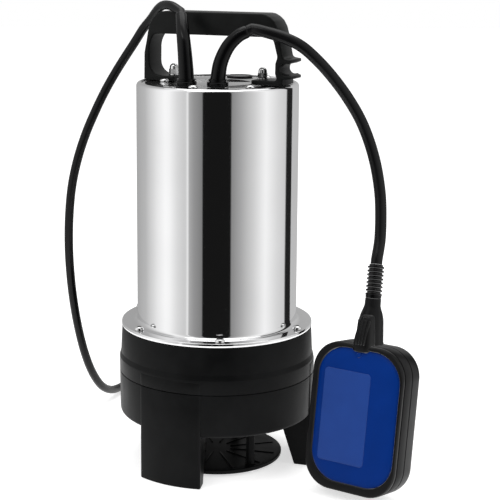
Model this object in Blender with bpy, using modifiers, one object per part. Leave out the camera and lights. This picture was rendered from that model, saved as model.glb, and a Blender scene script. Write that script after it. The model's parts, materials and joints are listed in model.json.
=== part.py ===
"""Submersible sump pump with a float switch: every casing, seal, shaft, screw and cord as its own object.

Metres, +Z up. The origin is on the floor, under the middle of the pump and its float. Each piece is
written in the pump's own frame, whose Z axis is the motor shaft, and hangs from one empty that places it.
Angles round the pump are counted from its front, the -Y side, and grow towards +X.
"""

from math import asin, atan2, cos, hypot, pi, radians, sin, sqrt, tau

import bmesh
import bpy
import numpy as np
from mathutils import Matrix, Vector

# ---------------------------------------------------------------------------------------------------
# Driving dimensions
# ---------------------------------------------------------------------------------------------------
GAP = 0.0003  # air left between touching pieces
ROUND = 36  # facets round the large turned pieces

PUMP_X, PUMP_Y = -0.0412, -0.0088  # the shaft, seen from the middle of the whole object's footprint

CAN_RADIUS = 0.0700
CAN_WALL = 0.0015
CAN_FOOT = 0.1304  # where the straight wall meets the cove above the flange
SHOULDER_TOP = 0.3363
SHOULDER_ROUND = 0.0035
FLANGE_RADIUS, FLANGE_TOP, FLANGE_BOTTOM = 0.0837, 0.1265, 0.1230
FLANGE_SCREW_CIRCLE = 0.0783
FLANGE_SCREWS = 6

COVER_RADIUS, COVER_TOP, COVER_BOTTOM = 0.0662, 0.3355, 0.3328
COVER_SCREWS = ((-21.6, 0.0552), (29.4, 0.0546), (-94.0, 0.0460), (128.0, 0.0550), (180.0, 0.0550))
POWER_GLAND = (-0.0262, -0.0360)
FLOAT_GLAND = (0.0000, -0.0410)
OIL_PLUG = (0.0196, 0.0430)

HANDLE_TURN = -25.0  # degrees: the handle's right end stands nearer than its left end
HANDLE_DEPTH = 0.0240
HANDLE_HALF = 0.0655
HANDLE_TOP, GRIP_UNDERSIDE = 0.3957, 0.3762
HANDLE_SIDE = (
    (0.0652, 0.3592),
    (0.0643, 0.3640),
    (0.0631, 0.3695),
    (0.0616, 0.3780),
    (0.0597, 0.3845),
    (0.0568, 0.3898),
    (0.0530, 0.3931),
    (0.0492, 0.3951),
    (0.0460, HANDLE_TOP),
)
HANDLE_NUTS = 0.0420  # from the shaft, along the handle

UPPER_TOP, SEAM = 0.1226, 0.0822
CASING_TOP_RADIUS, CASING_SEAM_RADIUS, CASING_LOW_RADIUS = 0.0834, 0.0858, 0.0853
CASING_BOTTOM = 0.0447
LEG_RADIUS, LEG_INNER, LEG_SPAN = 0.0862, 0.0820, 40.0
LEG_ANGLES = (-29.0, 91.0, 211.0)
GUSSET_THICKNESS, GUSSET_FOOT, GUSSET_HEAD = 0.0034, 0.0725, 0.0570

SUCTION_RADIUS, SUCTION_BOTTOM, SUCTION_THICKNESS = 0.0582, 0.0027, 0.0039
SUCTION_EYE = 0.0240
POST_CIRCLE, POST_RADIUS = 0.0480, 0.0040
POST_ANGLES = (38.0, 158.0, 278.0)

OUTLET_HEIGHT, OUTLET_RADIUS, OUTLET_BORE, OUTLET_END = 0.0610, 0.0205, 0.0155, 0.1000
ELBOW_BEND, ELBOW_RADIUS, ELBOW_BORE, ELBOW_TOP = 0.0210, 0.0190, 0.0130, 0.1500

SHAFT_RADIUS = 0.0060
CORE_LOW, CORE_HIGH = 0.1600, 0.2350

POWER_CORD, POWER_LENGTH = 0.0080, 7.60  # diameter, whole length of a 25 foot lead
FLOAT_CORD = 0.0098
STRAIGHT_END = 0.0040
COIL_CENTRE = (0.0020, 0.2350)
COIL_LAYERS, COIL_TURNS, COIL_PITCH = 4, 4.0, 0.0087
COIL_LIFT = 0.0019  # the tie passes under the turns
LOOP_POINTS = 24
COIL_RUN_OUT, COIL_RUN_IN = 0.70, 5.5  # turns on top of the last layer, and how much faster they close in
COIL_TOP = COIL_LIFT + POWER_CORD + (COIL_LAYERS - 1) * COIL_PITCH
COIL_TAIL = ((0.008, 0.0), (0.018, 0.5), (0.028, 1.0), (0.036, 1.0))  # run and share of the rise to the plug
PLUG_HALF = 0.0120
TIE_THICKNESS = 0.0012

FLOAT_CENTRE = (0.1217, -0.0902, 0.0665)
FLOAT_YAW, FLOAT_LEAN, FLOAT_PITCH = 34.6, 0.0, 8.8
FLOAT_WIDTH, FLOAT_HEIGHT, FLOAT_DEPTH, FLOAT_CORNER = 0.0837, 0.1232, 0.0370, 0.0246
FACE_WIDTH, FACE_HEIGHT, FACE_CORNER = 0.0754, 0.1118, 0.0245
FACE_SIDE, FACE_RAISE = 0.0016, 0.0018  # the face stands a little off the shell's middle
NECK_SIDE = -0.0011  # the neck stands a little to the left of the float's middle
BALL_RADIUS, BALL_LOW = 0.0070, -0.0285

# Route points of the free cords, from the pump's frame
POWER_ROUTE = (
    (-0.0405, 0.0050, 0.4005),
    (-0.0496, 0.0200, 0.3989),
    (-0.0591, 0.0345, 0.3868),
    (-0.0660, 0.0400, 0.3783),
    (-0.0735, 0.0445, 0.3665),
    (-0.0812, 0.0478, 0.3548),
    (-0.0895, 0.0500, 0.3418),
    (-0.0974, 0.0507, 0.3284),
    (-0.1040, 0.0510, 0.3160),
    (-0.1098, 0.0512, 0.3039),
    (-0.1182, 0.0520, 0.2846),
    (-0.1262, 0.0535, 0.2610),
    (-0.1322, 0.0560, 0.2350),
    (-0.1355, 0.0595, 0.2060),
    (-0.1367, 0.0640, 0.1760),
    (-0.1360, 0.0700, 0.1460),
    (-0.1338, 0.0775, 0.1165),
    (-0.1303, 0.0870, 0.0880),
    (-0.1258, 0.0990, 0.0620),
    (-0.1203, 0.1140, 0.0395),
    (-0.1135, 0.1330, 0.0210),
    (-0.1058, 0.1560, 0.0095),
    (-0.0975, 0.1800, 0.0050),
    (-0.0885, 0.2030, 0.0048),
)
FLOAT_ROUTE = (
    (0.0369, -0.0430, 0.3821), (0.0544, -0.0455, 0.3770), (0.0686, -0.0460, 0.3702), (0.0811, -0.0450, 0.3596),
    (0.0938, -0.0430, 0.3460), (0.1071, -0.0410, 0.3287), (0.1191, -0.0390, 0.3091), (0.1275, -0.0380, 0.2893),
    (0.1333, -0.0388, 0.2693), (0.1367, -0.0423, 0.2485), (0.1373, -0.0484, 0.2310), (0.1361, -0.0574, 0.2104),
)
POWER_BOOT = (
    (-0.0262, -0.0360, 0.3290),
    (-0.0262, -0.0360, 0.3420),
    (-0.0267, -0.0355, 0.3520),
    (-0.0275, -0.0338, 0.3630),
    (-0.0287, -0.0296, 0.3745),
    (-0.0300, -0.0220, 0.3850),
    (-0.0312, -0.0116, 0.3935),
)
FLOAT_BOOT = (
    (0.0000, -0.0410, 0.3290),
    (0.0000, -0.0410, 0.3420),
    (0.0024, -0.0410, 0.3560),
    (0.0084, -0.0409, 0.3690),
    (0.0166, -0.0405, 0.3777),
    (0.0246, -0.0400, 0.3819),
)


# ---------------------------------------------------------------------------------------------------
# Scene, materials and frames
# ---------------------------------------------------------------------------------------------------
def clear_scene():
    """Removes every object, so that the script starts from an empty scene."""
    for obj in list(bpy.data.objects):
        bpy.data.objects.remove(obj, do_unlink=True)


def new_collection(name):
    """Returns a new collection, linked to the scene."""
    made = bpy.data.collections.new(name)
    bpy.context.scene.collection.children.link(made)
    return made


def new_material(name, colour, roughness, metallic=0.0):
    """Returns a Principled material."""
    made = bpy.data.materials.new(name)
    made.use_nodes = True
    shader = made.node_tree.nodes["Principled BSDF"]
    shader.inputs["Base Color"].default_value = (*colour, 1.0)
    shader.inputs["Roughness"].default_value = roughness
    shader.inputs["Metallic"].default_value = metallic
    return made


def new_empty(name, parent=None, location=(0, 0, 0), rotation=None):
    """Returns an empty that carries other objects."""
    made = bpy.data.objects.new(name, None)
    made.empty_display_size = 0.02
    PARTS.objects.link(made)
    made.parent = parent
    made.location = location
    if rotation is not None:
        made.rotation_euler = rotation.to_euler()
    return made


def place(name, data, look, parent, location=(0, 0, 0), rotation=(0, 0, 0)):
    """Returns a new object made of the mesh or curve, dressed and parented."""
    made = bpy.data.objects.new(name, data)
    PARTS.objects.link(made)
    made.parent = parent
    made.location = location
    made.rotation_euler = rotation
    data.materials.clear()
    data.materials.append(look)
    if isinstance(data, bpy.types.Mesh):
        data.shade_smooth()
        data.set_sharp_from_angle(angle=radians(35))
    return made


# ---------------------------------------------------------------------------------------------------
# Shapes
# ---------------------------------------------------------------------------------------------------
def polar(radius, degrees):
    """Returns the point at this radius, degrees round from the front towards +X."""
    return radius * sin(radians(degrees)), -radius * cos(radians(degrees))


def arc(centre, radius, start, end, steps):
    """Returns the points of an arc in a plane, from start to end degrees."""
    angles = [radians(start + (end - start) * k / steps) for k in range(steps + 1)]
    return [(centre[0] + radius * cos(a), centre[1] + radius * sin(a)) for a in angles]


def turned(name, profile, look, parent, steps=32, **placing):
    """Returns a solid of revolution. The profile runs down the outer side, and a ring's closes on itself."""
    mesh = bpy.data.meshes.new(name)
    points = [(radius, 0.0, height) for radius, height in profile]
    edges = [(k, k + 1) for k in range(len(points) - 1)]
    if profile[0][0] > 0:
        edges.append((len(points) - 1, 0))
    mesh.from_pydata(points, edges, [])
    made = place(name, mesh, look, parent, **placing)
    screw = made.modifiers.new("turn", "SCREW")
    screw.steps = screw.render_steps = steps
    screw.use_merge_vertices = True
    screw.merge_threshold = 0.00001
    return made


def ring(name, inner, outer, low, high, look, parent, steps=32, **placing):
    """Returns a plain ring of square section."""
    profile = [(outer, high), (outer, low), (inner, low), (inner, high)]
    return turned(name, profile, look, parent, steps, **placing)


def rod(name, radius, low, high, look, parent, steps=16, **placing):
    """Returns a plain upright cylinder."""
    shape = bmesh.new()
    lift = Matrix.Translation((0, 0, (low + high) / 2))
    size = {"radius1": radius, "radius2": radius, "depth": high - low}
    bmesh.ops.create_cone(shape, cap_ends=True, segments=steps, matrix=lift, **size)
    mesh = bpy.data.meshes.new(name)
    shape.to_mesh(mesh)
    shape.free()
    return place(name, mesh, look, parent, **placing)


def block(name, size, look, parent, **placing):
    """Returns a box of this size, centred on its object."""
    shape = bmesh.new()
    bmesh.ops.create_cube(shape, size=1.0, matrix=Matrix.Diagonal((*size, 1.0)))
    mesh = bpy.data.meshes.new(name)
    shape.to_mesh(mesh)
    shape.free()
    return place(name, mesh, look, parent, **placing)


def mesh_from(curve):
    """Returns the curve object's evaluated mesh with its caps welded, and removes the object."""
    graph = bpy.context.evaluated_depsgraph_get()
    mesh = bpy.data.meshes.new_from_object(curve.evaluated_get(graph))
    shape = bmesh.new()
    shape.from_mesh(mesh)
    bmesh.ops.remove_doubles(shape, verts=shape.verts, dist=0.00001)
    shape.to_mesh(mesh)
    shape.free()
    bpy.data.objects.remove(curve, do_unlink=True)
    return mesh


def plate(name, outline, thickness, look, parent, rounding=0.0, **placing):
    """Returns a flat outline in the object's XY plane, thickened evenly to both sides of it."""
    data = bpy.data.curves.new(name, "CURVE")
    data.dimensions = "2D"
    data.fill_mode = "BOTH"
    data.extrude = thickness / 2 - rounding
    data.bevel_depth = rounding
    data.bevel_resolution = 1
    data.offset = -rounding
    spline = data.splines.new("POLY")
    spline.points.add(len(outline) - 1)
    for point, (x, y) in zip(spline.points, outline):
        point.co = (x, y, 0.0, 1.0)
    spline.use_cyclic_u = True
    drawn = bpy.data.objects.new(name + "_outline", data)
    PARTS.objects.link(drawn)
    bpy.context.view_layer.update()
    return place(name, mesh_from(drawn), look, parent, **placing)


def tube(name, route, radii, look, parent, sides=2, **placing):
    """Returns a tube of a curve object along the route. radii is one radius or one for each point."""
    data = bpy.data.curves.new(name, "CURVE")
    data.dimensions = "3D"
    data.bevel_depth = 1.0
    data.bevel_resolution = sides
    data.use_fill_caps = True
    spline = data.splines.new("POLY")
    spline.points.add(len(route) - 1)
    if isinstance(radii, float):
        radii = [radii] * len(route)
    for point, place_at, radius in zip(spline.points, route, radii):
        point.co = (*place_at, 1.0)
        point.radius = radius
    return place(name, data, look, parent, **placing)


def loft(name, sections, look, parent, steps=16, **placing):
    """Returns a closed solid through ellipses, each given as its height, half width and half depth."""
    shape = bmesh.new()
    rings = []
    for height, half_x, half_y in sections:
        angles = [tau * k / steps for k in range(steps)]
        rings.append([shape.verts.new((half_x * cos(a), half_y * sin(a), height)) for a in angles])
    for low, high in zip(rings, rings[1:]):
        for k in range(steps):
            after = (k + 1) % steps
            shape.faces.new((low[k], low[after], high[after], high[k]))
    shape.faces.new(reversed(rings[0]))
    shape.faces.new(rings[-1])
    mesh = bpy.data.meshes.new(name)
    shape.to_mesh(mesh)
    shape.free()
    return place(name, mesh, look, parent, **placing)


def combine(target, operation, tool):
    """Adds a Boolean to the target, and puts its tool away among the cutters."""
    PARTS.objects.unlink(tool)
    CUTTERS.objects.link(tool)
    tool.hide_render = True
    tool.display_type = "WIRE"
    step = target.modifiers.new(tool.name, "BOOLEAN")
    step.operation = operation
    step.solver = "EXACT"
    step.object = tool


def drill(target, parent, radius, x, y, low, high, steps=12):
    """Cuts an upright round hole through the target."""
    name = f"{target.name}_hole_{len(target.modifiers)}"
    tool = rod(name, radius, low, high, CUTTER, parent, steps, location=(x, y, 0))
    combine(target, "DIFFERENCE", tool)


def rounded_outline(width, height, corner, steps=5):
    """Returns a rectangle's outline with round corners, centred on the origin."""
    x, y = width / 2 - corner, height / 2 - corner
    outline = []
    for k, centre in enumerate(((x, y), (-x, y), (-x, -y), (x, -y))):
        outline += arc(centre, corner, 90 * k, 90 * k + 90, steps)
    return outline


def filleted(corners, steps=4):
    """Returns a polygon's outline, each corner given as x, y and the radius that rounds it."""
    outline = []
    for k, (x, y, radius) in enumerate(corners):
        here = Vector((x, y))
        if radius == 0:
            outline.append((x, y))
            continue
        before = (Vector(corners[k - 1][:2]) - here).normalized()
        after = (Vector(corners[(k + 1) % len(corners)][:2]) - here).normalized()
        half = before.angle(after) / 2
        middle = here + (before + after).normalized() * radius / sin(half)
        first = here + before * radius / np.tan(half) - middle
        last = here + after * radius / np.tan(half) - middle
        sweep = first.angle_signed(last)
        for j in range(steps + 1):
            spoke = first.copy()
            spoke.rotate(Matrix.Rotation(-sweep * j / steps, 2))
            outline.append(tuple(middle + spoke))
    return outline


def smooth_route(points, spacing):
    """Returns evenly spaced points of a smooth curve through the route's own points."""
    knots = np.array(points, float)
    before = 2 * knots[0] - knots[1]
    after = 2 * knots[-1] - knots[-2]
    p = np.vstack([before, knots, after])
    dense = []
    for k in range(1, len(p) - 2):
        for t in np.linspace(0, 1, 24, endpoint=False):
            pull = (p[k + 1] - p[k - 1]) / 2, (p[k + 2] - p[k]) / 2
            dense.append(
                (2 * t**3 - 3 * t**2 + 1) * p[k]
                + (t**3 - 2 * t**2 + t) * pull[0]
                + (3 * t**2 - 2 * t**3) * p[k + 1]
                + (t**3 - t**2) * pull[1]
            )
    dense.append(knots[-1])
    dense = np.array(dense)
    travelled = np.concatenate([[0], np.cumsum(np.linalg.norm(np.diff(dense, axis=0), axis=1))])
    marks = np.linspace(0, travelled[-1], max(4, round(travelled[-1] / spacing) + 1))
    return np.stack([np.interp(marks, travelled, dense[:, axis]) for axis in range(3)], axis=1)


def led_through(start, leaving, route, end, arriving, spacing):
    """Returns a cord's points, with short straight ends that carry on what the cord meets."""
    first, last = start + leaving * STRAIGHT_END, end - arriving * STRAIGHT_END
    return [start] + [Vector(point) for point in smooth_route([first, *route, last], spacing)] + [end]


def length_of(points):
    """Returns a route's length."""
    return float(np.linalg.norm(np.diff(np.asarray(points), axis=0), axis=1).sum())


def least_self_gap(points, diameter, skip):
    """Returns the smallest gap between a cord and itself, leaving out neighbours along it."""
    points = np.asarray(points)
    least = 1.0
    for k in range(len(points) - skip):
        away = np.linalg.norm(points[k + skip :] - points[k], axis=1)
        least = min(least, float(away.min()))
    return least - diameter


# ---------------------------------------------------------------------------------------------------
# Motor
# ---------------------------------------------------------------------------------------------------
def screw_angles(count, first=2.0):
    """Returns even angles round the pump."""
    return [first + 360 * k / count for k in range(count)]


def make_can():
    """The polished motor can: rolled shoulder, straight wall, cove and screwed flange, in one drawn piece."""
    inner = CAN_RADIUS - CAN_WALL
    cove = CAN_FOOT - FLANGE_TOP
    lip = COVER_BOTTOM - GAP
    shoulder = (CAN_RADIUS - SHOULDER_ROUND, SHOULDER_TOP - SHOULDER_ROUND)
    profile = arc(shoulder, SHOULDER_ROUND, 90, 0, 3)
    profile += arc((CAN_RADIUS + cove, CAN_FOOT), cove, 180, 270, 2)
    profile += [(FLANGE_RADIUS, FLANGE_TOP), (FLANGE_RADIUS, FLANGE_BOTTOM), (inner, FLANGE_BOTTOM)]
    profile += [(inner, lip - CAN_WALL), (0.0620, lip - CAN_WALL), (0.0620, lip)]
    profile += [(CAN_RADIUS - SHOULDER_ROUND, lip)]
    can = turned("motor_can", profile, STEEL, PUMP, ROUND)
    for degrees in screw_angles(FLANGE_SCREWS):
        x, y = polar(FLANGE_SCREW_CIRCLE, degrees)
        drill(can, PUMP, 0.0024, x, y, FLANGE_BOTTOM - 0.002, FLANGE_TOP + 0.002, 10)


def make_cover():
    """The top cover plate, drilled for the handle's studs, the cable boots, the oil plug and its screws."""
    cover = rod("top_cover", COVER_RADIUS, COVER_BOTTOM, COVER_TOP, STEEL, PUMP, ROUND)
    low, high = COVER_BOTTOM - 0.002, COVER_TOP + 0.002
    for side in (-1, 1):
        drill(cover, HANDLE, 0.0029, side * HANDLE_NUTS, 0, low, high)
    for x, y in (POWER_GLAND, FLOAT_GLAND, OIL_PLUG):
        drill(cover, PUMP, 0.0064, x, y, low, high)
    for number, (degrees, circle) in enumerate(COVER_SCREWS, 1):
        x, y = polar(circle, degrees)
        drill(cover, PUMP, 0.0023, x, y, low, high, 10)
        top = COVER_TOP + GAP
        profile = [(0, top + 0.0024), (0.0034, top + 0.0024), (0.0042, top + 0.0014), (0.0042, top)]
        profile += [(0.0019, top), (0.0019, top - 0.0100), (0, top - 0.0100)]
        turned(f"cover_screw_{number}", profile, STEEL, PUMP, 10, location=(x, y, 0))
    profile = [(0, 0.3374), (0.0110, 0.3374), (0.0118, 0.3367), (0.0118, COVER_TOP + GAP)]
    profile += [(0.0060, COVER_TOP + GAP), (0.0060, 0.3290), (0, 0.3290)]
    turned("oil_plug", profile, RUBBER, PUMP, 16, location=(*OIL_PLUG, 0))


def make_flange_screws():
    """The six screws that hold the can to the casing."""
    top = FLANGE_TOP + GAP
    profile = [(0, top + 0.0030), (0.0030, top + 0.0030), (0.0040, top + 0.0018), (0.0040, top)]
    profile += [(0.0020, top), (0.0020, top - 0.0140), (0, top - 0.0140)]
    for number, degrees in enumerate(screw_angles(FLANGE_SCREWS), 1):
        x, y = polar(FLANGE_SCREW_CIRCLE, degrees)
        turned(f"flange_screw_{number}", profile, STEEL, PUMP, 10, location=(x, y, 0))


def make_motor_inside():
    """Brackets, bearings, stator with its windings, and the run capacitor."""
    wall = CAN_RADIUS - CAN_WALL - 0.0005
    profile = [(wall, 0.1300), (wall, 0.1183), (0.0154, 0.1183), (0.0154, 0.1220), (0.0100, 0.1220)]
    profile += [(0.0100, 0.1228), (0.0164, 0.1228), (0.0164, 0.1300)]
    turned("lower_bearing_bracket", profile, ALUMINIUM, PUMP, 20)
    profile = [(wall, 0.2880), (wall, 0.2800), (0.0100, 0.2800), (0.0100, 0.2846), (0.0164, 0.2846)]
    profile += [(0.0164, 0.2950), (0.0220, 0.2950), (0.0220, 0.2880)]
    turned("upper_bearing_bracket", profile, ALUMINIUM, PUMP, 20)
    ring("lower_bearing", SHAFT_RADIUS + GAP, 0.0160, 0.1231, 0.1320, STEEL, PUMP, 16)
    ring("upper_bearing", SHAFT_RADIUS + GAP, 0.0160, 0.2849, 0.2940, STEEL, PUMP, 16)
    ring("stator_core", 0.0370, wall, CORE_LOW, CORE_HIGH, IRON, PUMP, 20)
    ring("lower_stator_winding", 0.0420, 0.0640, 0.1370, CORE_LOW - GAP, COPPER, PUMP, 16)
    ring("upper_stator_winding", 0.0420, 0.0640, CORE_HIGH + GAP, 0.2580, COPPER, PUMP, 16)
    turn = (0, pi / 2, 0)
    rod("run_capacitor", 0.0165, -0.0300, 0.0300, GREY, PUMP, 16, location=(0, 0.020, 0.3150), rotation=turn)


def make_rotor():
    """All that the motor turns: shaft, rotor core, seal ring, impeller and its nut."""
    clear = SHAFT_RADIUS + GAP
    rod("motor_shaft", SHAFT_RADIUS, 0.0510, 0.2950, STEEL, ROTOR, 16)
    ring("rotor_core", clear, 0.0363, CORE_LOW, CORE_HIGH, IRON, ROTOR, 24)
    ring("seal_ring", clear, 0.0120, 0.0770, 0.0843, CERAMIC, ROTOR, 16)
    nut = rod("impeller_nut", 0.0090, 0.0500, 0.0557, STEEL, ROTOR, 6)
    drill(nut, ROTOR, clear, 0, 0, 0.0480, 0.0580, 16)
    profile = [(clear, 0.0767), (0.0125, 0.0767), (0.0125, 0.0755), (0.0520, 0.0755), (0.0520, 0.0718)]
    profile += [(0.0125, 0.0718), (0.0125, 0.0560), (clear, 0.0560)]
    impeller = turned("impeller", profile, BLACK, ROTOR, 24)
    for number in range(6):
        turn = radians(60 * number)
        middle = Matrix.Rotation(turn, 3, "Z") @ Vector((0.0310, 0.0060, 0.0645))
        size = (0.0400, 0.0036, 0.0160)
        vane = block(f"vane_{number}", size, BLACK, ROTOR, location=middle, rotation=(0, 0, turn + 0.25))
        combine(impeller, "UNION", vane)


# ---------------------------------------------------------------------------------------------------
# Pump end
# ---------------------------------------------------------------------------------------------------
def make_upper_casing():
    """The black ring under the flange: it closes the pump chamber and holds the oil chamber and seals."""
    profile = [(CASING_TOP_RADIUS, UPPER_TOP), (0.0848, 0.0990), (CASING_SEAM_RADIUS, 0.0950)]
    profile += [(CASING_SEAM_RADIUS, SEAM + GAP), (0.0780, SEAM + GAP), (0.0780, 0.0846), (0.0175, 0.0846)]
    profile += [(0.0175, 0.0905), (0.0720, 0.0905), (0.0720, 0.1200), (0.0748, 0.1200), (0.0748, UPPER_TOP)]
    casing = turned("upper_casing", profile, BLACK, PUMP, ROUND)
    for number, degrees in enumerate(LEG_ANGLES):
        pad = leg_panel(f"leg_pad_{number}", degrees, SEAM + GAP, 0.0930, 0.0800)
        combine(casing, "UNION", pad)
    for degrees in screw_angles(FLANGE_SCREWS):
        x, y = polar(FLANGE_SCREW_CIRCLE, degrees)
        drill(casing, PUMP, 0.0024, x, y, 0.1100, 0.1250, 10)
    ring("casing_gasket", 0.0723, 0.0745, 0.1203, 0.1226, RUBBER, PUMP, 24)
    profile = [(0.0700, 0.1180), (0.0700, 0.0909), (0.0250, 0.0909), (0.0250, 0.0950), (0.0660, 0.0950)]
    profile += [(0.0660, 0.1180)]
    turned("oil_chamber", profile, ALUMINIUM, PUMP, 20)
    ring("seal_seat", 0.0080, 0.0172, 0.0849, 0.0900, CERAMIC, PUMP, 16)
    ring("shaft_lip_seal", 0.0064, 0.0150, 0.1187, 0.1217, RUBBER, PUMP, 16)


def leg_panel(name, degrees, low, high, inner, outer=LEG_RADIUS):
    """Returns a curved panel of a leg's width, centred at this angle."""
    start = degrees - 90 - LEG_SPAN / 2
    outline = arc((0, 0), outer, start, start + LEG_SPAN, 6)
    outline += arc((0, 0), inner, start + LEG_SPAN, start, 6)
    return plate(name, outline, high - low, BLACK, PUMP, location=(0, 0, (low + high) / 2))


def leg_gusset(name, degrees):
    """Returns the tapered radial rib that stiffens one end of a leg."""
    head = CASING_BOTTOM + 0.002
    outline = [(0.0835, 0), (0.0835, head), (GUSSET_HEAD, head), (GUSSET_FOOT, 0)]
    return plate(name, outline, GUSSET_THICKNESS, BLACK, PUMP, rotation=(pi / 2, 0, radians(degrees - 90)))


def make_volute():
    """The lower casing: pump chamber, suction eye, three legs and the outlet branch behind."""
    high, floor = SEAM, CASING_BOTTOM + 0.0040
    profile = [(CASING_SEAM_RADIUS, high), (CASING_LOW_RADIUS, CASING_BOTTOM + 0.0020)]
    profile += [(CASING_LOW_RADIUS - 0.0018, CASING_BOTTOM), (SUCTION_EYE, CASING_BOTTOM)]
    profile += [(SUCTION_EYE, floor), (0.0810, floor), (0.0810, high)]
    volute = turned("volute_casing", profile, BLACK, PUMP, ROUND)
    for number, degrees in enumerate(LEG_ANGLES):
        combine(volute, "UNION", leg_panel(f"leg_{number}", degrees, 0.0, high, LEG_INNER))
        reach = LEG_SPAN / 2 - degrees_across(GUSSET_THICKNESS / 2, LEG_RADIUS)
        for side in (-1, 1):
            name = f"gusset_{number}_{'left' if side < 0 else 'right'}"
            combine(volute, "UNION", leg_gusset(name, degrees + side * reach))
    back = (-pi / 2, 0, 0)
    centre = (0, 0, OUTLET_HEIGHT)
    branch = rod("outlet_branch", OUTLET_RADIUS, 0.0825, OUTLET_END, BLACK, PUMP, 20, location=centre, rotation=back)
    combine(volute, "UNION", branch)
    bore = rod("outlet_bore", OUTLET_BORE, 0.0600, 0.1200, CUTTER, PUMP, 20, location=centre, rotation=back)
    combine(volute, "DIFFERENCE", bore)
    for degrees in POST_ANGLES:
        x, y = polar(POST_CIRCLE, degrees)
        drill(volute, PUMP, 0.0022, x, y, CASING_BOTTOM - 0.002, floor + 0.002, 10)


def degrees_across(half_width, radius):
    """Returns the angle that a half width covers at this radius."""
    return asin(half_width / radius) * 180 / pi


def make_suction():
    """The suction plate on its three posts, and the long screws that hold it from below."""
    top = SUCTION_BOTTOM + SUCTION_THICKNESS
    profile = [(0, top), (SUCTION_RADIUS - 0.0008, top), (SUCTION_RADIUS, top - 0.0008)]
    profile += [(SUCTION_RADIUS, SUCTION_BOTTOM + 0.0020)]
    profile += [(SUCTION_RADIUS - 0.0020, SUCTION_BOTTOM), (0, SUCTION_BOTTOM)]
    suction = turned("suction_plate", profile, BLACK, PUMP, ROUND)
    for number, degrees in enumerate(POST_ANGLES, 1):
        x, y = polar(POST_CIRCLE, degrees)
        low, high = SUCTION_BOTTOM + 0.001, CASING_BOTTOM - GAP
        post = rod(f"post_{number}", POST_RADIUS, low, high, BLACK, PUMP, 14, location=(x, y, 0))
        combine(suction, "UNION", post)
        drill(suction, PUMP, 0.0022, x, y, 0.0, high + 0.002, 10)
        head = SUCTION_BOTTOM - GAP
        profile = [(0, 0.0475), (0.0018, 0.0475), (0.0018, head), (0.0038, head), (0.0038, 0.0008), (0, 0.0008)]
        turned(f"suction_screw_{number}", profile, STEEL, PUMP, 10, location=(x, y, 0))


def make_outlet():
    """The elbow and stepped hose tail behind the pump, with the union nut that holds it."""
    back, centre = (-pi / 2, 0, 0), (0, 0, OUTLET_HEIGHT)
    start = OUTLET_END + GAP
    clear = OUTLET_RADIUS + GAP
    profile = [(0.0248, 0.1072), (0.0248, 0.0895), (clear, 0.0895), (clear, 0.1042)]
    profile += [(ELBOW_RADIUS + 0.0004, 0.1042), (ELBOW_RADIUS + 0.0004, 0.1072)]
    turned("outlet_nut", profile, BLACK, PUMP, 24, location=centre, rotation=back)
    bend = arc((start + 0.0090, OUTLET_HEIGHT + ELBOW_BEND), ELBOW_BEND, -90, 0, 6)
    upright = bend[-1][0]
    pipe = [(start, OUTLET_HEIGHT, 0.0203), (0.1036, OUTLET_HEIGHT, 0.0203)]
    pipe += [(0.1038, OUTLET_HEIGHT, ELBOW_RADIUS)] + [(y, z, ELBOW_RADIUS) for y, z in bend]
    barbs = ((0.0960, ELBOW_RADIUS), (0.0962, 0.0178), (0.1070, 0.0178), (0.1072, 0.0197), (0.1180, 0.0165))
    barbs += ((0.1240, 0.0165), (0.1242, 0.0182), (0.1340, 0.0155), (0.1398, 0.0155), (0.1400, 0.0168))
    pipe += [(upright, height, radius) for height, radius in barbs] + [(upright, ELBOW_TOP, 0.0150)]
    route = [(0, y, z) for y, z, _ in pipe]
    elbow = mesh_tube("discharge_elbow", route, [radius for *_, radius in pipe], BLACK, 4)
    bore = [(0, start - 0.002, OUTLET_HEIGHT)] + [(0, y, z) for y, z in bend] + [(0, upright, ELBOW_TOP + 0.002)]
    combine(elbow, "DIFFERENCE", mesh_tube("elbow_bore", bore, ELBOW_BORE, CUTTER, 4))


def mesh_tube(name, route, radius, look, sides):
    """Returns a tube made a mesh, ready for Booleans."""
    drawn = tube(name + "_line", route, radius, look, None, sides)
    bpy.context.view_layer.update()
    return place(name, mesh_from(drawn), look, PUMP)


# ---------------------------------------------------------------------------------------------------
# Handle and cable boots
# ---------------------------------------------------------------------------------------------------
def handle_outline():
    """Returns the handle seen along its depth: two feet, two legs, the grip and the cord clip on the right."""
    foot, foot_top, foot_end = COVER_TOP + GAP, 0.3400, 0.0363
    over_rim, rim_step = SHOULDER_TOP + GAP, 0.0635
    clip = [(0.0725, 0.3418, 0), (0.0725, 0.3442, 0)]
    clip += [(x, y, 0) for x, y in arc((0.0672, 0.3500), 0.0049, -65, -295, 8)]
    clip += [(0.0725, 0.3558, 0), (0.0725, 0.3582, 0)]
    side = [(x, y, 0) for x, y in HANDLE_SIDE]
    corners = [(rim_step, foot, 0), (rim_step, over_rim, 0), (HANDLE_HALF, over_rim, 0), (HANDLE_HALF, 0.3412, 0)]
    corners += clip + side + [(-x, y, 0) for x, y, _ in reversed(side)]
    corners += [(-HANDLE_HALF, over_rim, 0), (-rim_step, over_rim, 0), (-rim_step, foot, 0), (-foot_end, foot, 0)]
    corners += [(-foot_end, foot_top, 0.0010), (-0.0600, foot_top, 0.0125), (-0.0598, 0.3680, 0)]
    corners += [(-0.0555, GRIP_UNDERSIDE, 0.0060), (0.0555, GRIP_UNDERSIDE, 0.0060), (0.0598, 0.3600, 0)]
    corners += [(0.0580, 0.3545, 0), (0.0578, 0.3460, 0), (0.0600, foot_top, 0.0030)]
    corners += [(foot_end, foot_top, 0.0010), (foot_end, foot, 0)]
    return filleted(corners)


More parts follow.
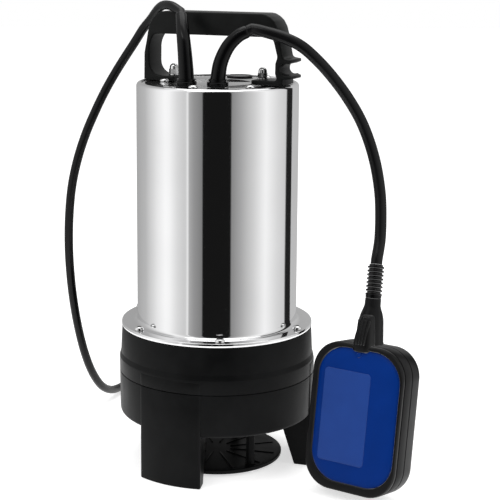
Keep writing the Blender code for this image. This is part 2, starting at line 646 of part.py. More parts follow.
def make_handle():
    """The black handle, and the acorn nuts on their studs."""
    handle = plate("handle", handle_outline(), HANDLE_DEPTH, BLACK, HANDLE, rotation=(pi / 2, 0, 0))
    for side, name in ((-1, "left"), (1, "right")):
        x = side * HANDLE_NUTS
        drill(handle, HANDLE, 0.0029, x, 0, 0.3300, 0.3450)
        seat = 0.3400 + GAP
        profile = [(0, seat + 0.0100), (0.0022, seat + 0.0094), (0.0036, seat + 0.0078), (0.0040, seat + 0.0050)]
        profile += [(0.0046, seat + 0.0046), (0.0046, seat), (0.0025, seat), (0.0025, 0.3180), (0, 0.3180)]
        turned(f"handle_nut_{name}", profile, STEEL, HANDLE, 12, location=(x, 0, 0))


def make_boot(name, route, collar, body, tip):
    """A moulded cable boot: spigot, collar and tapering neck. Returns where its cord starts, and which way."""
    spigot = 0.0060
    base = Vector(route[0])
    neck = smooth_route(route[1:], 0.0045)
    points = [base, base + Vector((0, 0, 0.0067)), base + Vector((0, 0, 0.0068)), base + Vector((0, 0, 0.0124))]
    radii = [spigot, spigot, collar, collar]
    points += [Vector(point) for point in neck]
    radii += [body + (tip - body) * k / (len(neck) - 1) for k in range(len(neck))]
    tube(name, points, radii, RUBBER, PUMP, 3)
    leaving = (points[-1] - points[-2]).normalized()
    return points[-1] + leaving * GAP, leaving


# ---------------------------------------------------------------------------------------------------
# Float switch
# ---------------------------------------------------------------------------------------------------
def float_axes():
    """Returns the float's own frame: across it, away from the camera side, and up its length."""
    yaw, lean, pitch = radians(FLOAT_YAW), radians(FLOAT_LEAN), radians(FLOAT_PITCH)
    across = Vector((cos(yaw), -sin(yaw), 0))
    towards = Vector((-sin(yaw), -cos(yaw), 0))
    up = Vector((0, 0, 1)) * cos(pitch) - towards * sin(pitch)
    away = -(towards * cos(pitch) + Vector((0, 0, 1)) * sin(pitch))
    tilted = across * cos(lean) - up * sin(lean)
    risen = up * cos(lean) + across * sin(lean)
    return Matrix((tilted, away, risen)).transposed()


def slab(name, width, height, corner, front, back, look, rounding=0.0, side=0.0, raised=0.0):
    """Returns a round-cornered slab that stands in the float, from its front to its back depth."""
    outline = rounded_outline(width, height, corner)
    middle = (side, (front + back) / 2, raised)
    return plate(name, outline, back - front, look, FLOAT, rounding, location=middle, rotation=(pi / 2, 0, 0))


def make_float():
    """The float's two shells and blue face, with the neck that the cord enters."""
    half, wall = FLOAT_DEPTH / 2, 0.0030
    shells = (("front", -1, 0.0075), ("rear", 1, 0.0030))
    for name, side, cap in shells:
        inside = side * 0.00015
        outer = slab(f"float_{name}_shell", FLOAT_WIDTH, FLOAT_HEIGHT, FLOAT_CORNER, -half, half, BLACK, 0.0040)
        neck_low = FLOAT_HEIGHT / 2 - 0.0025
        sections = [(neck_low, 0.0097, 0.0155), (neck_low + 0.0260, 0.0088, 0.0135)]
        sections += [(neck_low + 0.0340, 0.0067, 0.0069), (neck_low + 0.0405, 0.0064, 0.0066)]
        neck = loft(f"float_neck_{name}", sections, BLACK, FLOAT, 14, location=(NECK_SIDE, 0, 0))
        combine(outer, "UNION", neck)
        size = (FLOAT_WIDTH + 0.02, 0.0400, FLOAT_HEIGHT + 0.12)
        other_half = block(f"float_split_{name}", size, CUTTER, FLOAT, location=(0, inside - side * 0.0200, 0.02))
        combine(outer, "DIFFERENCE", other_half)
        front, back = sorted((-side * 0.001, side * (half - cap)))
        inner = (FLOAT_WIDTH - 2 * wall, FLOAT_HEIGHT - 2 * wall, FLOAT_CORNER - wall)
        hollow = slab(f"float_hollow_{name}", *inner, front, back, CUTTER)
        combine(outer, "DIFFERENCE", hollow)
        if side < 0:
            size = (FACE_WIDTH + 2 * GAP, FACE_HEIGHT + 2 * GAP, FACE_CORNER + GAP)
            recess = slab("face_recess", *size, -half - 0.002, -half + 0.0040, CUTTER, side=FACE_SIDE, raised=FACE_RAISE)
            combine(outer, "DIFFERENCE", recess)
    face = slab("float_face", FACE_WIDTH, FACE_HEIGHT, FACE_CORNER, -half - 0.0004, -half + 0.0037, BLUE,
                side=FACE_SIDE, raised=FACE_RAISE)
    panel = plate("face_panel", rounded_outline(0.0427, 0.0768, 0.0030, 2), 0.0020, BLUE, FLOAT,
                  location=(-0.0078, -half - 0.0002, 0.0008), rotation=(pi / 2, 0, 0))
    combine(face, "UNION", panel)


def make_float_inside():
    """The switch block with its ball guide, the steel ball and the lever that it presses."""
    guide = block("float_switch_block", (0.0240, 0.0200, 0.0840), GREY, FLOAT, location=(0, 0.0052, 0.0050))
    channel = block("ball_channel", (0.0156, 0.0300, 0.0600), CUTTER, FLOAT, location=(0, -0.0038, -0.0070))
    combine(guide, "DIFFERENCE", channel)
    shape = bmesh.new()
    bmesh.ops.create_uvsphere(shape, u_segments=10, v_segments=6, radius=BALL_RADIUS)
    mesh = bpy.data.meshes.new("float_ball")
    shape.to_mesh(mesh)
    shape.free()
    place("float_ball", mesh, STEEL, FLOAT, location=(0, -0.0003, BALL_LOW))
    block("switch_lever", (0.0130, 0.0114, 0.0010), STEEL, FLOAT, location=(-0.0010, 0.0052, 0.0150))


# ---------------------------------------------------------------------------------------------------
# Cords
# ---------------------------------------------------------------------------------------------------
def make_float_cord(start, leaving):
    """The stiff cord between the boot and the float's ribbed strain relief."""
    frame = float_axes()
    neck_top = Vector(FLOAT_CENTRE) + frame @ Vector((NECK_SIDE, 0, FLOAT_HEIGHT / 2 + 0.0380 + GAP))
    foot = neck_top + frame @ Vector((0, 0, 0.0016))
    lean = Vector((0.0026, 0.0080, 0.0242))
    ribs, points, radii = 8, [neck_top, foot], [0.0067, 0.0067]
    for k in range(ribs):
        for share, radius in ((0.05, 0.0067), (0.50, 0.0067), (0.60, 0.0057), (0.95, 0.0057)):
            points.append(foot + lean * (k + share) / ribs)
            radii.append(radius)
    relief_top = foot + lean
    points.append(relief_top)
    radii.append(0.0057)
    tube("float_strain_relief", points, radii, RUBBER, PUMP, 2)
    down = -lean.normalized()
    route = led_through(start, leaving, FLOAT_ROUTE, relief_top - down * GAP, down, 0.0100)
    tube("float_cord", route, FLOAT_CORD / 2, CORD, PUMP, 2)
    print(f"float cord: {length_of(route):.3f} m")


def coil_points(mean_radius):
    """Returns the wound cord: it spirals in and out, climbs a layer where it turns back, and ends on top."""
    outer = mean_radius + COIL_TURNS * COIL_PITCH / 2
    wound = COIL_LAYERS * COIL_TURNS
    points = []
    for k in range(round((wound + COIL_RUN_OUT) * LOOP_POINTS) + 1):
        turn = k / LOOP_POINTS
        layer, along = divmod(turn, COIL_TURNS)
        inward = along if layer % 2 == 0 else COIL_TURNS - along
        inward += max(0.0, turn - wound - 0.25) * COIL_RUN_IN
        nearest = round(turn / COIL_TURNS)
        past = max(-0.25, min(0.25, turn - nearest * COIL_TURNS))
        climbed = nearest + 2 * past - 0.5 if nearest > 0 else 0.0
        radius = outer - inward * COIL_PITCH
        angle = pi - tau * turn
        height = COIL_LIFT + POWER_CORD / 2 + climbed * COIL_PITCH
        points.append(Vector((COIL_CENTRE[0] + radius * cos(angle), COIL_CENTRE[1] + radius * sin(angle), height)))
    return points


def whole_coil(mean_radius):
    """Returns the coil with its straight lead-in and the tail that rises to the plug."""
    points = coil_points(mean_radius)
    leaving = (points[-1] - points[-2]).normalized()
    rise = Vector((0, 0, COIL_TOP + PLUG_HALF + GAP - points[-1].z))
    tail = [points[-1] + leaving * run + rise * share for run, share in COIL_TAIL]
    return [points[0] - Vector((0, POWER_CORD, 0))] + points + tail, leaving


def make_power_cord(start, setting_off):
    """The free stretch over the handle and down to the floor, the coil behind the pump, its tie and the plug."""
    mean_radius, coil = 0.058, []
    for _ in range(3):
        coil, leaving = whole_coil(mean_radius)
        back = Vector((0, 1, 0))
        route = led_through(start, setting_off, POWER_ROUTE, coil[0] - back * GAP, back, 0.0105)
        spare = POWER_LENGTH - length_of(route) - length_of(coil)
        mean_radius += spare / (tau * COIL_LAYERS * COIL_TURNS)
    coil, leaving = whole_coil(mean_radius)
    tube("power_cord_coil", coil, POWER_CORD / 2, CORD, PUMP, 1)
    tube("power_cord", route, POWER_CORD / 2, CORD, PUMP, 2)
    gap = least_self_gap(coil, POWER_CORD, LOOP_POINTS // 2) * 1000
    print(f"power cord: {length_of(route) + length_of(coil):.3f} m, coil's least gap to itself {gap:.2f} mm")
    make_plug(coil[-1] + leaving * GAP, leaving)
    make_tie(mean_radius)


def make_plug(at, direction):
    """The moulded plug with its two blades and round earth pin, lying on the coil."""
    turn = (0, pi / 2, atan2(direction.y, direction.x))
    frame = new_empty("plug_frame", PUMP, at)
    frame.rotation_euler = turn
    sections = [(0.0, 0.0050, 0.0050), (0.0300, 0.0062, 0.0062), (0.0330, 0.0105, 0.0125)]
    sections += [(0.0430, PLUG_HALF, 0.0150), (0.0520, PLUG_HALF, 0.0150)]
    loft("plug_body", sections, RUBBER, frame, 16)
    face = 0.0520 + GAP
    for side, name in ((-1, "left"), (1, "right")):
        size = (0.0062, 0.0015, 0.0170)
        block(f"plug_blade_{name}", size, BRASS, frame, location=(0.0035, side * 0.0063, face + 0.0085))
    rod("plug_earth_pin", 0.0024, face, face + 0.0190, BRASS, frame, 10, location=(-0.0070, 0, 0))


def make_tie(mean_radius):
    """The strap that holds the coil's turns together, at its right."""
    inside = tie_outline(COIL_TURNS / 2 * COIL_PITCH - COIL_PITCH / 2 + POWER_CORD / 2 + 0.0008, 0.0)
    outside = tie_outline(COIL_TURNS / 2 * COIL_PITCH - COIL_PITCH / 2 + POWER_CORD / 2 + 0.0008, TIE_THICKNESS)
    centre = (COIL_CENTRE[0] + mean_radius, COIL_CENTRE[1], 0)
    strap = plate("cord_tie", outside, 0.0080, RUBBER, PUMP, location=centre, rotation=(pi / 2, 0, 0))
    opening = plate("tie_opening", inside, 0.0300, CUTTER, PUMP, location=centre, rotation=(pi / 2, 0, 0))
    combine(strap, "DIFFERENCE", opening)


def tie_outline(half, wall):
    """Returns the strap's section, which follows the four layers and the last turn on top of them."""
    low, shoulder = COIL_LIFT - GAP - wall, COIL_TOP + 0.0005 + wall
    top = shoulder + COIL_PITCH
    corners = [(half + wall, low, 0.0030 + wall), (half + wall, shoulder, 0.0040 + wall)]
    corners += [(0.0080, top, 0.0050 + wall), (-0.0080, top, 0.0050 + wall)]
    corners += [(-half - wall, shoulder, 0.0040 + wall), (-half - wall, low, 0.0030 + wall)]
    return filleted(corners, 3)


# ---------------------------------------------------------------------------------------------------
# Assembly
# ---------------------------------------------------------------------------------------------------
clear_scene()
PARTS = new_collection("sump_pump")
CUTTERS = new_collection("cutters")

STEEL = new_material("stainless_steel", (0.72, 0.72, 0.73), 0.15, 1.0)
BLACK = new_material("black_plastic", (0.035, 0.035, 0.038), 0.45)
RUBBER = new_material("black_rubber", (0.028, 0.028, 0.030), 0.50)
CORD = new_material("cord_sheath", (0.030, 0.030, 0.032), 0.48)
BLUE = new_material("blue_plastic", (0.010, 0.115, 0.420), 0.35)
GREY = new_material("grey_plastic", (0.45, 0.45, 0.46), 0.50)
IRON = new_material("core_steel", (0.28, 0.28, 0.29), 0.45, 1.0)
ALUMINIUM = new_material("cast_aluminium", (0.62, 0.62, 0.64), 0.50, 1.0)
COPPER = new_material("copper_winding", (0.65, 0.28, 0.12), 0.40, 1.0)
BRASS = new_material("brass", (0.75, 0.60, 0.30), 0.30, 1.0)
CERAMIC = new_material("seal_ceramic", (0.80, 0.78, 0.74), 0.30)
CUTTER = new_material("cutter", (0.8, 0.2, 0.2), 0.5)

PUMP = new_empty("pump_frame", location=(PUMP_X, PUMP_Y, 0))
ROTOR = new_empty("rotor_axis", PUMP)
HANDLE = new_empty("handle_frame", PUMP, rotation=Matrix.Rotation(radians(HANDLE_TURN), 3, "Z"))
FLOAT = new_empty("float_frame", PUMP, FLOAT_CENTRE, float_axes())

make_can()
make_cover()
make_flange_screws()
make_motor_inside()
make_rotor()
make_upper_casing()
make_volute()
make_suction()
make_outlet()
make_handle()
power_exit = make_boot("power_cable_boot", POWER_BOOT, 0.0088, 0.0066, 0.0050)
float_exit = make_boot("float_cable_boot", FLOAT_BOOT, 0.0091, 0.0064, 0.0054)
make_float()
make_float_inside()
make_float_cord(*float_exit)
make_power_cord(*power_exit)
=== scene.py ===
"""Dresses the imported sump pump: studio and cords first, then motor can, pump end, handle and float.

Lengths are metres. Every builder works in the pump's own frame, whose Z axis is the motor shaft, and
`solid` moves the finished mesh into the row frame. Angles round the pump are degrees from its front, the
-Y side, and grow towards +X.
"""

from __future__ import annotations

import json
import logging
from dataclasses import dataclass, field
from enum import Enum
from functools import cache
from math import asin, atan2, cos, degrees, pi, radians, sin, tau
from typing import Callable, Iterable, Sequence

import bmesh
import bpy
import numpy as np
from mathutils import Matrix, Vector

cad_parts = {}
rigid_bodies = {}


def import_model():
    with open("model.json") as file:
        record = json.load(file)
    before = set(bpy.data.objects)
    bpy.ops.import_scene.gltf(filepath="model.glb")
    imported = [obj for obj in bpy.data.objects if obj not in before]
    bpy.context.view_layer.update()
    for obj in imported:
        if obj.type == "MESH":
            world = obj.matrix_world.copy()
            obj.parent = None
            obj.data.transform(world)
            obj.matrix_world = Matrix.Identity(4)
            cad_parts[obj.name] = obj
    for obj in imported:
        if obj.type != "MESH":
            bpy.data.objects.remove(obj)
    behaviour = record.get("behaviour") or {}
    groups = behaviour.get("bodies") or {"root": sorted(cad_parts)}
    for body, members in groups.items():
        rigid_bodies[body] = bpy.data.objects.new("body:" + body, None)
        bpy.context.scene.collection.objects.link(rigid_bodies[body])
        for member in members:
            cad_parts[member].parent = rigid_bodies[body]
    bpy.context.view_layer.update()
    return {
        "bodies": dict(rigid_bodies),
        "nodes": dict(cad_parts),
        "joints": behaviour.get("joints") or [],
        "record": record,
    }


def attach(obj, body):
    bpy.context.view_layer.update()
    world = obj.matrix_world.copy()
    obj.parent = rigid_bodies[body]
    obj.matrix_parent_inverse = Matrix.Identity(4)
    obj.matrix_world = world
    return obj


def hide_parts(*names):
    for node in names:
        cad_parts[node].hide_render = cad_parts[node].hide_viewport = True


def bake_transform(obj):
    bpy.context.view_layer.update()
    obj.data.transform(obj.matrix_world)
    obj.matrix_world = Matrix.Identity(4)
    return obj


LOG = logging.getLogger("sump_pump")
PUMP = Vector((-0.0412, -0.0088, 0.0))
STILL = Matrix.Identity(4)
GAP = 0.0003  # between pieces that touch
MERGE = 0.0000008  # points closer than this are one
POLE = 1e-7  # a smaller ring is one point
STRAIGHT_END = 0.0040  # how far a cord carries on what it meets
KNOT_STEPS = 24  # samples of a curve between two of its knots
NOISE_RANGE = (0.3, 0.7)  # where most of a noise lies
MOTTLE_STOPS = (0.32, 0.68)  # where the mottling starts and ends on it
EDGE_RANGE = (0.53, 0.62)  # from a flat face to a sharp edge, as pointiness
WAVES_PER_METRE = 0.314  # scale of a wave texture whose bands are a metre apart

Shape = bmesh.types.BMesh
Object = bpy.types.Object
Material = bpy.types.Material
Tree = bpy.types.NodeTree
Node = bpy.types.Node
Socket = bpy.types.NodeSocket
Given = dict[str | int, object]
Point = tuple[float, float, float]
Row = tuple[float, float]
Profile = list[Row]
Ring = list[Vector]


# ---- Nodes ----
def feed(node: Node, inputs: Given) -> None:
    """Gives a node's inputs their values.

    Args:
        node: the node.
        inputs: for each input's name or number, a constant or the socket that feeds it.
    """
    for name, value in inputs.items():
        if isinstance(value, Socket):
            node.id_data.links.new(value, node.inputs[name])
        else:
            node.inputs[name].default_value = value


def added(tree: Tree, kind: str, inputs: Given | None = None, **settings: object) -> Node:
    """Adds a node to a tree.

    Args:
        tree: the tree.
        kind: the node's type.
        inputs: what its inputs are given, as for `feed`.
        settings: its own properties.

    Returns:
        The node.
    """
    node = tree.nodes.new(kind)
    for name, value in settings.items():
        setattr(node, name, value)
    feed(node, inputs or {})
    return node


def ranged(value: Socket, source: Row, target: Row) -> Socket:
    """Returns the value, mapped from the source range to the target range."""
    ends = {"From Min": source[0], "From Max": source[1], "To Min": target[0], "To Max": target[1]}
    return added(value.id_data, "ShaderNodeMapRange", {"Value": value, **ends}).outputs["Result"]


def blank(name: str) -> Material:
    """Returns a new material with nodes."""
    made = bpy.data.materials.new(name)
    made.use_nodes = True
    return made


# ---- Finishes ----
class Weave(Enum):
    """How the fine relief of a finish runs."""

    GRAIN = "grain"  # fine moulded grain, the same every way
    TURNED = "turned"  # rings left by a lathe, along Z
    LAMINATED = "laminated"  # stacked sheets, along Z
    WOUND = "wound"  # wire laid round the shaft
    SHEATH = "sheath"  # faint marks along a cord, from its own UV map


@dataclass(frozen=True)
class Finish:
    """One surface finish, built as a node material.

    Args:
        name: the material's name.
        slot: the record's slot that it is meant for; not used.
        colour: linear base colour.
        roughness: the roughness in the middle of its range.
        metallic: 0 or 1.
        spread: how far the roughness wanders to each side.
        mottle: how far the colour wanders, as a share of itself.
        patch: size of the wandering patches.
        weave: how the fine relief runs.
        pitch: size of one grain, ring or sheet.
        depth: height of the relief.
        specular: strength of the mirror-like part, 0.5 for a plain plastic.
        edge: how much paler the convex edges are, as a painted highlight.
    """

    name: str
    slot: str
    colour: tuple[float, float, float]
    roughness: float
    metallic: float = 0.0
    spread: float = 0.05
    mottle: float = 0.10
    patch: float = 0.030
    weave: Weave = Weave.GRAIN
    pitch: float = 0.0006
    depth: float = 0.00002
    specular: float = 0.5
    edge: float = 0.0

    @cache
    def build(self) -> Material:
        """Makes the material, once for each finish.

        Returns:
            The finished material.
        """
        made = blank(self.name)
        tree = made.node_tree
        place = added(tree, "ShaderNodeTexCoord").outputs["UV" if self.weave is Weave.SHEATH else "Object"]
        wander = self._noise(place, self.patch, 4.0)
        bump = {"Strength": 1.0, "Distance": self.depth, "Height": self._relief(place)}
        rough = (self.roughness - self.spread, self.roughness + self.spread)
        feed(tree.nodes["Principled BSDF"], {
            "Metallic": self.metallic,
            "Specular IOR Level": self.specular,
            "Base Color": self._colour(wander),
            "Roughness": ranged(wander, NOISE_RANGE, rough),
            "Normal": added(tree, "ShaderNodeBump", bump).outputs["Normal"],
        })
        return made

    def _noise(self, place: Socket, size: float, detail: float) -> Socket:
        """Returns a noise whose patches have this size."""
        return added(place.id_data, "ShaderNodeTexNoise",
                     {"Vector": place, "Scale": 1 / size, "Detail": detail}).outputs["Fac"]

    def _colour(self, wander: Socket) -> Socket:
        """Mottles the colour, and pales the convex edges as a painted highlight.

        Args:
            wander: the noise that the mottling follows.

        Returns:
            The colour.
        """
        tree = wander.id_data
        ramp = added(tree, "ShaderNodeValToRGB", {"Fac": wander})
        dark = [c * (1 - self.mottle) for c in self.colour]
        pale = [min(1.0, c * (1 + self.mottle) + self.edge * 0.01) for c in self.colour]
        for stop, place, colour in zip(ramp.color_ramp.elements, MOTTLE_STOPS, (dark, pale)):
            stop.position = place
            stop.color = (*colour, 1)
        if self.edge <= 0:
            return ramp.outputs["Color"]
        # painted highlight: the convex edges, found by pointiness, are paled towards a lighter tone
        pointed = added(tree, "ShaderNodeNewGeometry").outputs["Pointiness"]
        edge_highlight_tone = [min(1.0, c * 2.5 + 0.05) for c in self.colour]
        share = ranged(pointed, EDGE_RANGE, (0.0, self.edge))
        mix = {"Factor": share, 6: ramp.outputs["Color"], 7: (*edge_highlight_tone, 1)}
        return added(tree, "ShaderNodeMix", mix, data_type="RGBA").outputs[2]

    def _relief(self, place: Socket) -> Socket:
        """Draws the fine relief.

        Args:
            place: the coordinates that it follows.

        Returns:
            The height that the bump reads.
        """
        if self.weave in (Weave.GRAIN, Weave.SHEATH):
            return self._noise(place, self.pitch, 2.0)
        swirl = 0.4 if self.weave is Weave.TURNED else 1.2
        wave = {"Vector": place, "Scale": WAVES_PER_METRE / self.pitch, "Distortion": swirl, "Detail": 1.0}
        return added(place.id_data, "ShaderNodeTexWave", wave, wave_type="BANDS", bands_direction="Z",
                     wave_profile="SAW" if self.weave is Weave.LAMINATED else "SIN").outputs["Fac"]


POLISHED = Finish("polished_stainless", "polished_steel", (0.78, 0.78, 0.785), 0.060, 1.0, 0.015, 0.02, 0.06,
                  Weave.TURNED, 0.0009, 0.0000006)
COVER_STEEL = Finish("cover_stainless", "polished_steel", (0.74, 0.74, 0.745), 0.11, 1.0, 0.03, 0.03, 0.02,
                     pitch=0.004, depth=0.00001)
BRIGHT = Finish("bright_fastener", "fastener_steel", (0.74, 0.74, 0.74), 0.16, 1.0, 0.05, 0.05, 0.004,
                Weave.TURNED, 0.0005, 0.000003)
# edge on the black plastics paints a highlight along their convex edges
CASING = Finish("satin_black_plastic", "black_plastic", (0.0034, 0.0036, 0.0038), 0.40, mottle=0.12,
                patch=0.02, pitch=0.0007, depth=0.000025, specular=0.075, edge=0.20)
HANDLE_PLASTIC = Finish("handle_black_plastic", "black_plastic", (0.0034, 0.0038, 0.0036), 0.34, mottle=0.12,
                        patch=0.015, pitch=0.0007, specular=0.12, edge=0.22)
MOULDED_RUBBER = Finish("moulded_rubber", "black_rubber", (0.0022, 0.0022, 0.0024), 0.17, spread=0.04,
                        patch=0.010, pitch=0.0009, depth=0.000012, specular=0.17)
CORD_SHEATH = Finish("cord_sheath", "cord_sheath", (0.0042, 0.0042, 0.0045), 0.27, patch=0.05,
                     weave=Weave.SHEATH, pitch=0.0012, depth=0.000012, specular=0.18)
FLOAT_BLUE = Finish("float_blue", "blue_plastic", (0.0002, 0.027, 0.200), 0.36, spread=0.04, mottle=0.06,
                    patch=0.02, pitch=0.0012, depth=0.000010, specular=0.055)
PANEL_BLUE = Finish("panel_blue", "blue_plastic", (0.0120, 0.052, 0.262), 0.40, spread=0.04, mottle=0.05,
                    patch=0.02, pitch=0.0012, depth=0.000010, specular=0.14)
FLOAT_BLACK = Finish("float_black", "black_plastic", (0.0038, 0.0038, 0.0041), 0.34, patch=0.02,
                     pitch=0.0008, specular=0.10, edge=0.22)
PALE_PLASTIC = Finish("pale_plastic", "grey_plastic", (0.46, 0.46, 0.47), 0.45, mottle=0.05, patch=0.01)
CORE_STEEL = Finish("core_steel", "core_steel", (0.26, 0.26, 0.27), 0.42, 1.0, 0.08, 0.15, 0.02,
                    Weave.LAMINATED, 0.0010, 0.00010)
CAST_ALUMINIUM = Finish("cast_aluminium", "cast_aluminium", (0.56, 0.56, 0.57), 0.48, 1.0, 0.08, 0.08, 0.01,
                        pitch=0.0010, depth=0.00006)
COPPER = Finish("varnished_copper", "copper_winding", (0.62, 0.25, 0.10), 0.32, 1.0, 0.06, 0.20, 0.01,
                Weave.WOUND, 0.0012, 0.00030)
BRASS = Finish("plug_brass", "plug_brass", (0.76, 0.58, 0.28), 0.22, 1.0, 0.05, 0.06, 0.004,
               depth=0.000004)
CERAMIC = Finish("seal_ceramic", "seal_ceramic", (0.78, 0.76, 0.71), 0.22, spread=0.04, mottle=0.04,
                 patch=0.006)


# ---- Mesh tools ----
def linked(name: str, data: bpy.types.ID) -> Object:
    """Makes an object of this data in the scene and returns it."""
    made = bpy.data.objects.new(name, data)
    bpy.context.scene.collection.objects.link(made)
    return made


def meshed(name: str, shape: Shape) -> bpy.types.Mesh:
    """Turns a shape into a mesh with its doubles merged and its faces outwards.

    Args:
        name: the mesh's name.
        shape: the shape, which is used up.

    Returns:
        The mesh.
    """
    bmesh.ops.remove_doubles(shape, verts=shape.verts, dist=MERGE)
    bmesh.ops.recalc_face_normals(shape, faces=shape.faces)
    mesh = bpy.data.meshes.new(name)
    shape.to_mesh(mesh)
    shape.free()
    return mesh


def solid(name: str, shape: Shape, look: Finish, smooth: float = 32.0) -> Object:
    """Turns a shape in the pump's frame into an object in the row frame, closed and facing outwards.

    Args:
        name: the object's name.
        shape: the shape, which is used up.
        look: its finish.
        smooth: edges sharper than this many degrees stay crisp.

    Returns:
        The object, which sits at the origin.
    """
    mesh = meshed(name, moved(shape, Matrix.Translation(PUMP)))
    mesh.materials.append(look.build())
    mesh.shade_smooth()
    mesh.set_sharp_from_angle(angle=radians(smooth))
    return linked(name, mesh)


def piece(name: str, shape: Shape, look: Finish, *nodes: str, body: str = "pump",
          smooth: float = 32.0) -> Object:
    """Makes a visible piece, hides the CAD nodes that it stands for, and puts it on its body.

    Args:
        name: the object's name.
        shape: the shape in the pump's frame, which is used up.
        look: its finish, which has its slot.
        nodes: the CAD nodes that it stands for.
        body: the body that it rides on.
        smooth: edges sharper than this many degrees stay crisp.

    Returns:
        The object.
    """
    made = solid(name, shape, look, smooth)
    if nodes:
        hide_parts(*nodes)
    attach(made, body)
    return made


def unmirrored(made: Object) -> Object:
    """Keeps a piece out of the polished can's reflections, as the photograph has it, and returns it."""
    made.visible_glossy = False
    return made


def evaluated(host: Object, *helpers: Object) -> Shape:
    """Takes the shape that an object's curve or modifiers make.

    Args:
        host: the object, which is removed.
        helpers: the objects that its modifiers read, which are removed too.

    Returns:
        The shape.
    """
    bpy.context.view_layer.update()
    mesh = bpy.data.meshes.new_from_object(host.evaluated_get(bpy.context.evaluated_depsgraph_get()))
    shape = bmesh.new()
    shape.from_mesh(mesh)
    bpy.data.meshes.remove(mesh)
    for spent in (host, *helpers):
        data = spent.data
        bpy.data.objects.remove(spent, do_unlink=True)
        (bpy.data.curves if isinstance(data, bpy.types.Curve) else bpy.data.meshes).remove(data)
    return shape


def moved(shape: Shape, turn: Matrix) -> Shape:
    """Moves a shape and returns it."""
    bmesh.ops.transform(shape, matrix=turn, verts=shape.verts)
    return shape


def at(x: float, y: float, z: float) -> Matrix:
    """Returns the matrix that shifts by this much."""
    return Matrix.Translation((x, y, z))


def spun(angle: float, axis: str) -> Matrix:
    """Returns the matrix that turns by this many degrees about an axis."""
    return Matrix.Rotation(radians(angle), 4, axis)


def polar(radius: float, angle: float, height: float = 0.0) -> Vector:
    """Returns the point at this radius, degrees round from the front towards +X."""
    return Vector((radius * sin(radians(angle)), -radius * cos(radians(angle)), height))


def oval(wide: float, deep: float, height: float, steps: int) -> Ring:
    """Returns a level oval about Z, or the one point that it shrinks to."""
    turns = [tau * k / steps for k in range(steps if wide > POLE else 1)]
    return [Vector((wide * cos(turn), deep * sin(turn), height)) for turn in turns]


def stack(rings: Sequence[Ring], closed: bool = False) -> Shape:
    """Joins rings of equally many points into one closed shape.

    Args:
        rings: the rings in order; a ring of one point is a pole.
        closed: True where the last ring meets the first, as round a tyre.

    Returns:
        The shape.
    """
    shape = bmesh.new()
    rows = [[shape.verts.new(point) for point in ring] for ring in rings]
    pairs = list(zip(rows, rows[1:])) + ([(rows[-1], rows[0])] if closed else [])
    for low, high in pairs:
        count = max(len(low), len(high))
        for k in range(count):
            after = (k + 1) % count
            corners = [row[j % len(row)] for row, j in ((low, k), (low, after), (high, after), (high, k))]
            shape.faces.new(dict.fromkeys(corners))
    if not closed:
        for row in (rows[0], rows[-1]):
            if len(row) > 1:
                shape.faces.new(row)
    return shape


def lathe(profile: Profile, steps: int = 128, turn: Matrix = STILL) -> Shape:
    """Turns a (radius, height) profile about Z; one that starts off the axis closes on itself."""
    rings = [oval(radius, radius, height, steps) for radius, height in profile]
    return moved(stack(rings, closed=profile[0][0] > POLE), turn)


def arc(centre: Row, radius: float, start: float, end: float, steps: int) -> Profile:
    """Returns the points of an arc from start to end degrees."""
    turns = [radians(start + (end - start) * k / steps) for k in range(steps + 1)]
    return [(centre[0] + radius * cos(a), centre[1] + radius * sin(a)) for a in turns]


def eased(corners: Sequence[Point], steps: int = 5, closed: bool = True) -> Profile:
    """Rounds a polygon's corners.

    Args:
        corners: each corner as x, y and the radius that rounds it.
        steps: segments in each rounding.
        closed: False where the first and last corners are ends, left sharp.

    Returns:
        The outline's points.
    """
    outline: Profile = []
    for k, (x, y, radius) in enumerate(corners):
        here = Vector((x, y))
        end = not closed and k in (0, len(corners) - 1)
        before = Vector(corners[k - 1][:2]) - here
        after = Vector(corners[(k + 1) % len(corners)][:2]) - here
        if end or radius == 0 or not before.length or not after.length or before.angle(after) > pi - 0.02:
            outline.append((x, y))
            continue
        half = before.angle(after) / 2
        reach = min(radius / np.tan(half), before.length * 0.49, after.length * 0.49)
        radius = reach * np.tan(half)
        middle = here + (before.normalized() + after.normalized()).normalized() * radius / sin(half)
        first = here + before.normalized() * reach - middle
        sweep = first.angle_signed(here + after.normalized() * reach - middle)
        for j in range(steps + 1):
            spoke = first.copy()
            spoke.rotate(Matrix.Rotation(-sweep * j / steps, 2))
            outline.append(tuple(middle + spoke))
    return outline


def round_rect(width: float, height: float, corner: float, steps: int = 16) -> Profile:
    """Returns a rectangle's outline with round corners."""
    x, y = width / 2 - corner, height / 2 - corner
    corners = enumerate(((x, y), (-x, y), (-x, -y), (x, -y)))
    return [point for k, centre in corners for point in arc(centre, corner, 90 * k, 90 * k + 90, steps)]


def slab(outline: Profile, thickness: float, rounding: float, turn: Matrix) -> Shape:
    """Thickens a flat outline evenly to both sides.

    Args:
        outline: the outline, in XY.
        thickness: the whole thickness.
        rounding: radius of its edges.
        turn: where it is put.

    Returns:
        The closed shape.
    """
    data = bpy.data.curves.new("outline", "CURVE")
    data.dimensions = "2D"
    data.fill_mode = "BOTH"
    data.extrude = thickness / 2 - rounding
    data.bevel_depth = rounding
    data.bevel_resolution = 3
    data.offset = -rounding
    spline = data.splines.new("POLY")
    spline.points.add(len(outline) - 1)
    for point, (x, y) in zip(spline.points, outline):
        point.co = (x, y, 0, 1)
    spline.use_cyclic_u = True
    shape = evaluated(linked("outline", data))
    bmesh.ops.remove_doubles(shape, verts=shape.verts, dist=0.000002)
    return moved(shape, turn)


